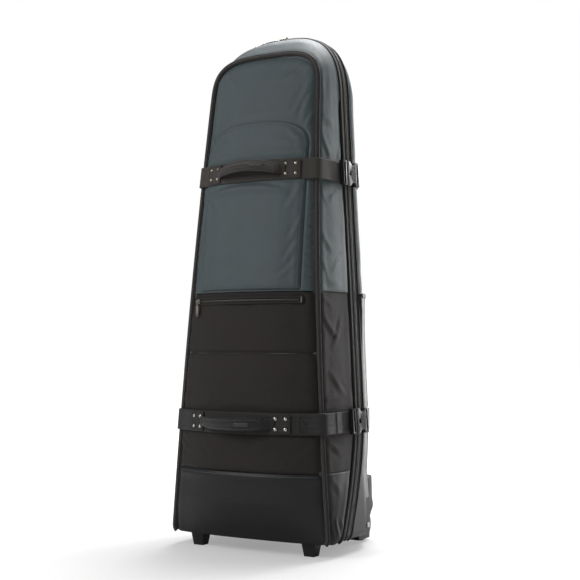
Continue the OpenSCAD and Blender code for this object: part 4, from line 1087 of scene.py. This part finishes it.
rivet_verts, rivet_faces, rivet_mats = [], [], []
prof = np.array([(0.01, 2.4), (1.6, 2.3), (2.9, 1.95), (3.7, 1.4), (3.9, 1.0),
                 (4.4, 1.15), (4.9, 1.0), (5.3, 0.5), (5.2, 0.0), (0.01, 0.0)])
for row, px, zc, web in (("upper", 108, UPPER_Z, "web_up"), ("lower", 115, LOWER_Z, "web_low")):
    for s, side in ((1, "right"), (-1, "left")):
        plane = face_frame(s * px, zc, PATCH_LIFT)
        t = np.sin(np.linspace(-pi / 2, pi / 2, 37))
        u, v = np.meshgrid(t, t, indexing="ij")
        round_in = 1 - 0.055 * (np.abs(u) * np.abs(v)) ** 6
        d = np.minimum(1 - np.abs(u), 1 - np.abs(v)) * PATCH / 2
        h = 2.1 * np.sqrt(1 - (1 - np.clip(d / 1.2, 0, 1)) ** 2) - 0.5 * bell(d - 3.6, 0.8)
        h = h + 0.3 * noise(u * 23, v * 23, 12, 111)
        flat = cols(u * PATCH / 2 * round_in, v * PATCH / 2 * round_in)
        outer = on_plane(plane, np.concatenate([flat, h[..., None]], 2))
        inner = on_plane(plane, np.concatenate([flat, 0 * h[..., None]], 2))
        place(shell(f"patch_{row}_{side}", outer, inner, [M[web]], 50), "lid", "webbing",
              *(["handle_patches"] if row == "upper" and s > 0 else []))
        e = PATCH / 2 - 3.6
        square = [(-e, -e, 1.55), (e, -e, 1.55), (e, e, 1.55), (-e, e, 1.55), (-e, -e, 1.55)]
        path = resample(np.array(square), 160)
        sew(f"patch_stitches_{row}_{side}", on_plane(plane, path), "thread_dark", "webbing", out=plane[3],
            r=0.5)
        start = on_plane(plane, np.array([[-s * (PATCH / 2 - 9), 0, 2.6], [-s * (PATCH / 2 - 3), 0, 2.9],
                                          [-s * (PATCH / 2 + 1), 0, 3.2]]))
        goal = np.array([[s * (GRIP_LEN / 2 - 3), grip_y(zc) - 1.0, zc]])
        path = spline(join(start, start[-1:] * 0.4 + goal * 0.6, goal), 8)
        k = np.linspace(0, 1, len(path))
        a = circle(20)
        flatp = cols(signed_power(np.cos(a), 0.5), signed_power(np.sin(a), 0.7))
        prof3 = flatp[None] * cols(12.5 - 1.5 * k, 1.5 + 1.2 * k)[:, None]
        mat = M["grip_up" if row == "upper" else "grip_low"]
        place(tube(f"tongue_{row}_{side}", path, prof3, [mat], FRONT), "lid", "webbing")
        for dx in (-RIVET_AT, RIVET_AT):
            for dz in (-RIVET_AT, RIVET_AT):
                base = len(rivet_verts)
                b = circle(RIVET_SIDES)
                ring = cols(prof[:, :1] * np.cos(b) + dx, prof[:, :1] * np.sin(b) + dz,
                            prof[:, 1:] + 2.0 + 0 * b[None])
                rivet_verts.extend(on_plane(plane, ring).reshape(-1, 3))
                rivet_faces.extend(quads(len(prof), RIVET_SIDES, base, loop_m=True).tolist())
                rivet_faces.append([base + i for i in range(RIVET_SIDES)])
                last = base + (len(prof) - 1) * RIVET_SIDES
                rivet_faces.append([last + i for i in range(RIVET_SIDES)][::-1])
                head = 0 if row == "upper" else 1
                rivet_mats += [head] * (4 * RIVET_SIDES) + [2] * ((len(prof) - 5) * RIVET_SIDES) + [head, 2]
place(finish_mesh("rivets_look", rivet_verts, rivet_faces, None, [M["brass"], M["silver"], M["rivet_rim"]],
                  rivet_mats, 40), "lid", "rivet_metal", "rivets")


def grip_point(t, a, grow=0.0):
    """Place on a padded grip: t runs along it from -1 to 1 and a goes round it; channels run lengthwise."""
    v = signed_power(np.cos(a), 0.85)
    slim = 1 - 0.14 * np.abs(t) ** 4 - 0.35 * smooth((np.abs(t) - 0.93) / 0.07)
    thick = 6.2 * signed_power(np.sin(a), 0.8)
    channel = 1.15 * (np.abs(np.cos(2.5 * pi * v / 2)) - 0.5) * np.abs(np.sin(a)) ** 0.5 * np.sign(np.sin(a))
    pinch = 0.25 * noise(t * 84, v * 15, 14, 121)
    out = GRIP_BOW * (1 - t**2)
    depth = (thick + channel * (1 - np.abs(t) ** 6) + (grow + pinch) * np.sin(a)) * slim
    return cols(t * GRIP_LEN / 2, -out + depth, (15 + grow) * v * slim)


def grip_place(p, zc, tilt):
    c, s = cos(radians(-tilt)), sin(radians(-tilt))
    return cols(p[..., 0], p[..., 1] * c - p[..., 2] * s + grip_y(zc), p[..., 1] * s + p[..., 2] * c + zc)


for row, zc, tilt, cover in (("upper", UPPER_Z, 26, "grip_up"), ("lower", LOWER_Z, -4, "grip_low")):
    t = np.sin(np.linspace(-pi / 2, pi / 2, 101))
    a = circle(72)
    T, A = np.meshgrid(t, a, indexing="ij")
    p = grip_place(grip_point(T, A), zc, tilt)
    faces = quads(101, 72, loop_m=True).tolist() + [list(range(72))[::-1], list(range(100 * 72, 101 * 72))]
    uv = cols(A * 14 * MM, T * 84 * MM).reshape(-1, 2)
    grip = place(finish_mesh("grip_look_" + row, p.reshape(-1, 3), faces, uv, [M[cover]]), "handle_" + row,
                 "grip_rubber", "grip_" + row)
    # on the lower grip the stitches are real, and their light thread is also a painted highlight along the
    # grip's two edges
    for k, ang in enumerate((radians(-52), radians(-128))):
        t = np.linspace(-0.9, 0.9, 120)
        line = grip_place(grip_point(t, np.full(120, ang), 0.0), zc, tilt)
        out = grip_place(grip_point(t, np.full(120, ang), 3.0), zc, tilt) - line
        sew(f"grip_stitches_{row}_{k}", line, "thread" if row == "lower" else "thread_dark", "grip_rubber",
            "handle_" + row, out, r=0.35)
    t, a = np.linspace(0.22, 0.62, 24), angles(-104, -76, 10)
    T, A = np.meshgrid(t, a, indexing="ij")
    outer = grip_place(grip_point(T, A, 1.3), zc, tilt)
    inner = grip_place(grip_point(T, A, -0.6), zc, tilt)
    place(shell(f"grip_label_{row}", outer, inner, [M["label"]], 45), "handle_" + row, "grip_rubber")

# ---------------------------------------------------------------- hard parts
def hard_part(node, width, mat, segments, body, slot):
    place(softened(node, width, [M[mat]], segments), body, slot)


for row in ("upper", "lower"):
    for side in ("left", "right"):
        hard_part(f"socket_{row}_{side}", 0.9, "buckle", 3, "case", "buckle_plastic")
        hard_part(f"plug_{row}_{side}", 0.7, "buckle", 2, f"plug_{row}_{side}", "buckle_plastic")
for side in ("left", "right"):
    hard_part("foot_" + side, 2.0, "moulded", 3, "case", "moulded_plastic")
    hard_part("wheel_housing_" + side, 1.2, "moulded", 3, "case", "moulded_plastic")
    hard_part("main_slider_" + side, 0.35, "zip_metal", 2, "zip_slider_" + side, "zip_metal")
    hard_part("main_pull_" + side, 0.35, "zip_metal", 2, "zip_pull_" + side, "zip_metal")
    hard_part("tyre_" + side, 0.5, "tyre", 2, "wheel_" + side, "wheel_tyre")
    hard_part("hub_" + side, 0.5, "hub", 2, "wheel_" + side, "wheel_hub")
    hard_part("axle_" + side, 0.6, "steel", 2, "case", "steel")
hard_part("pocket_slider", 0.3, "zip_metal", 2, "pocket_zip_slider", "zip_metal")
hard_part("pocket_pull", 0.35, "zip_metal", 2, "pocket_zip_pull", "zip_metal")
hard_part("base_tray", 1.0, "moulded", 2, "case", "moulded_plastic")
hard_part("back_board", 0.6, "board", 2, "case", "board_plastic")
hard_part("inner_buckles", 1.0, "buckle", 2, "case", "buckle_plastic")
for node in ("base_screws", "bearings_left", "bearings_right"):
    if not NODES[node].material_slots:
        NODES[node].data.materials.append(M["steel"])
    for slot in NODES[node].material_slots:
        slot.material = M["steel"]

# inside: compression straps and the foam that guards the club heads
for node in ("inner_strap_upper", "inner_strap_lower"):
    lo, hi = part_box(node)
    t = np.array([-1, -0.97, -0.9, -0.5, 0, 0.5, 0.9, 0.97, 1])
    thick = np.array([0.5, 0.85, 1, 0.95, 1, 0.95, 1, 0.85, 0.5]) * 2
    for s, side in ((1, "right"), (-1, "left")):
        xs = np.linspace(28, 100, 40)
        mid = (lo.z + hi.z) / 2 / MM
        X, T = np.meshgrid(xs, t, indexing="ij")
        Z = mid + T * 19
        outer = cols(s * X, hi.y / MM - np.tile(thick, (40, 1)), Z)
        inner = cols(s * X, hi.y / MM + 0 * X, Z)
        place(shell(f"{node}_{side}", outer, inner, [M["web_low"]]), "case", "webbing", node)


def foam_line(t, count=60):
    ring = inset(rear_ring(0, 0), t)
    a = angles(20, 90, count)
    z = ring[2] + (ring[1] - ring[2]) * np.sin(a) ** (2 / ring[3])
    half = cols((side_w(z) + ring[0]) * np.cos(a).clip(0, 1) ** (2 / ring[3]), z)
    return resample(join(half, half[-2::-1] * [-1, 1]), 119)


ys = np.linspace(-1, 1, 15)
crown = 1.5 * (1 - np.abs(ys) ** 4)
outer = np.stack([np.insert(foam_line(36.5 - c), 1, 121 + 21 * y, 1) for y, c in zip(ys, crown)], 1)
inner = np.stack([np.insert(foam_line(55.5 + 2 * c), 1, 121 + 21 * y, 1) for y, c in zip(ys, crown)], 1)
place(shell("top_foam_look", outer, inner, [M["foam"]]), "case", "foam", "top_foam")


# ---------------------------------------------------------------- floor, light and camera
def area_light(name, place_at, aim, size, power):
    data = bpy.data.lights.new(name, "AREA")
    data.shape, data.size, data.size_y, data.energy = "RECTANGLE", size[0], size[1], power
    lamp = add_object(name, data)
    lamp.location = place_at
    direction = (np.array(aim) - np.array(place_at)).tolist()
    lamp.rotation_euler = Vector(direction).to_track_quat("-Z", "Y").to_euler()


def seen_or(tree, seen, other):
    """One value for what the camera sees directly, and another for the light that falls on the case."""
    path = tree.nodes.new("ShaderNodeLightPath")
    part = math_node(tree, "MULTIPLY", path.outputs["Is Camera Ray"], seen - other)
    return math_node(tree, "ADD", part, other)


floor = add_object("floor", bpy.data.meshes.new("floor"))
bm = bmesh.new()
bmesh.ops.create_grid(bm, x_segments=2, y_segments=2, size=14)
bm.to_mesh(floor.data)
bm.free()
mat, tree, bsdf = new_material("pale_floor")
bsdf.inputs["Base Color"].default_value = (0.6, 0.6, 0.6, 1)
bsdf.inputs["Roughness"].default_value = 0.7
bsdf.inputs["Specular IOR Level"].default_value = 0.2
bsdf.inputs["Emission Color"].default_value = (1, 1, 1, 1)
far = tree.nodes.new("ShaderNodeVectorMath")
far.operation = "LENGTH"
tree.links.new(tree.nodes.new("ShaderNodeTexCoord").outputs["Object"], far.inputs[0])
glow = math_node(tree, "MULTIPLY", far.outputs["Value"], 0.24)
glow = math_node(tree, "MINIMUM", math_node(tree, "ADD", glow, 0.3), 1.0)
tree.links.new(math_node(tree, "MULTIPLY", glow, seen_or(tree, 1.0, 0.0)), bsdf.inputs["Emission Strength"])
floor.data.materials.append(mat)

scene = bpy.context.scene
scene.view_settings.view_transform = "Standard"
world = bpy.data.worlds.new("studio")
scene.world = world
world.use_nodes = True
back = world.node_tree.nodes["Background"]
back.inputs["Color"].default_value = (1, 1, 1, 1)
world.node_tree.links.new(seen_or(world.node_tree, 1.0, 0.2), back.inputs["Strength"])
area_light("key_softbox", (-1.6, -2.9, 2.3), (0, 0, 0.9), (1.4, 1.8), 62)
area_light("top_softbox", (0.0, 1.0, 2.9), (0, 0, 1.0), (1.8, 1.4), 95)
area_light("right_strip", (0.85, 2.7, 0.8), (0.2, 0.1, 0.4), (0.6, 2.2), 42)

camera = add_object("camera", bpy.data.cameras.new("camera"))
camera.data.sensor_width, camera.data.lens = 36, 36 * 1135.74 / 580
camera.location = (1.4541, -2.3914, 0.4924)
camera.rotation_euler = (pi / 2 + 0.046293, 0.0004, radians(30.430))
scene.camera = camera
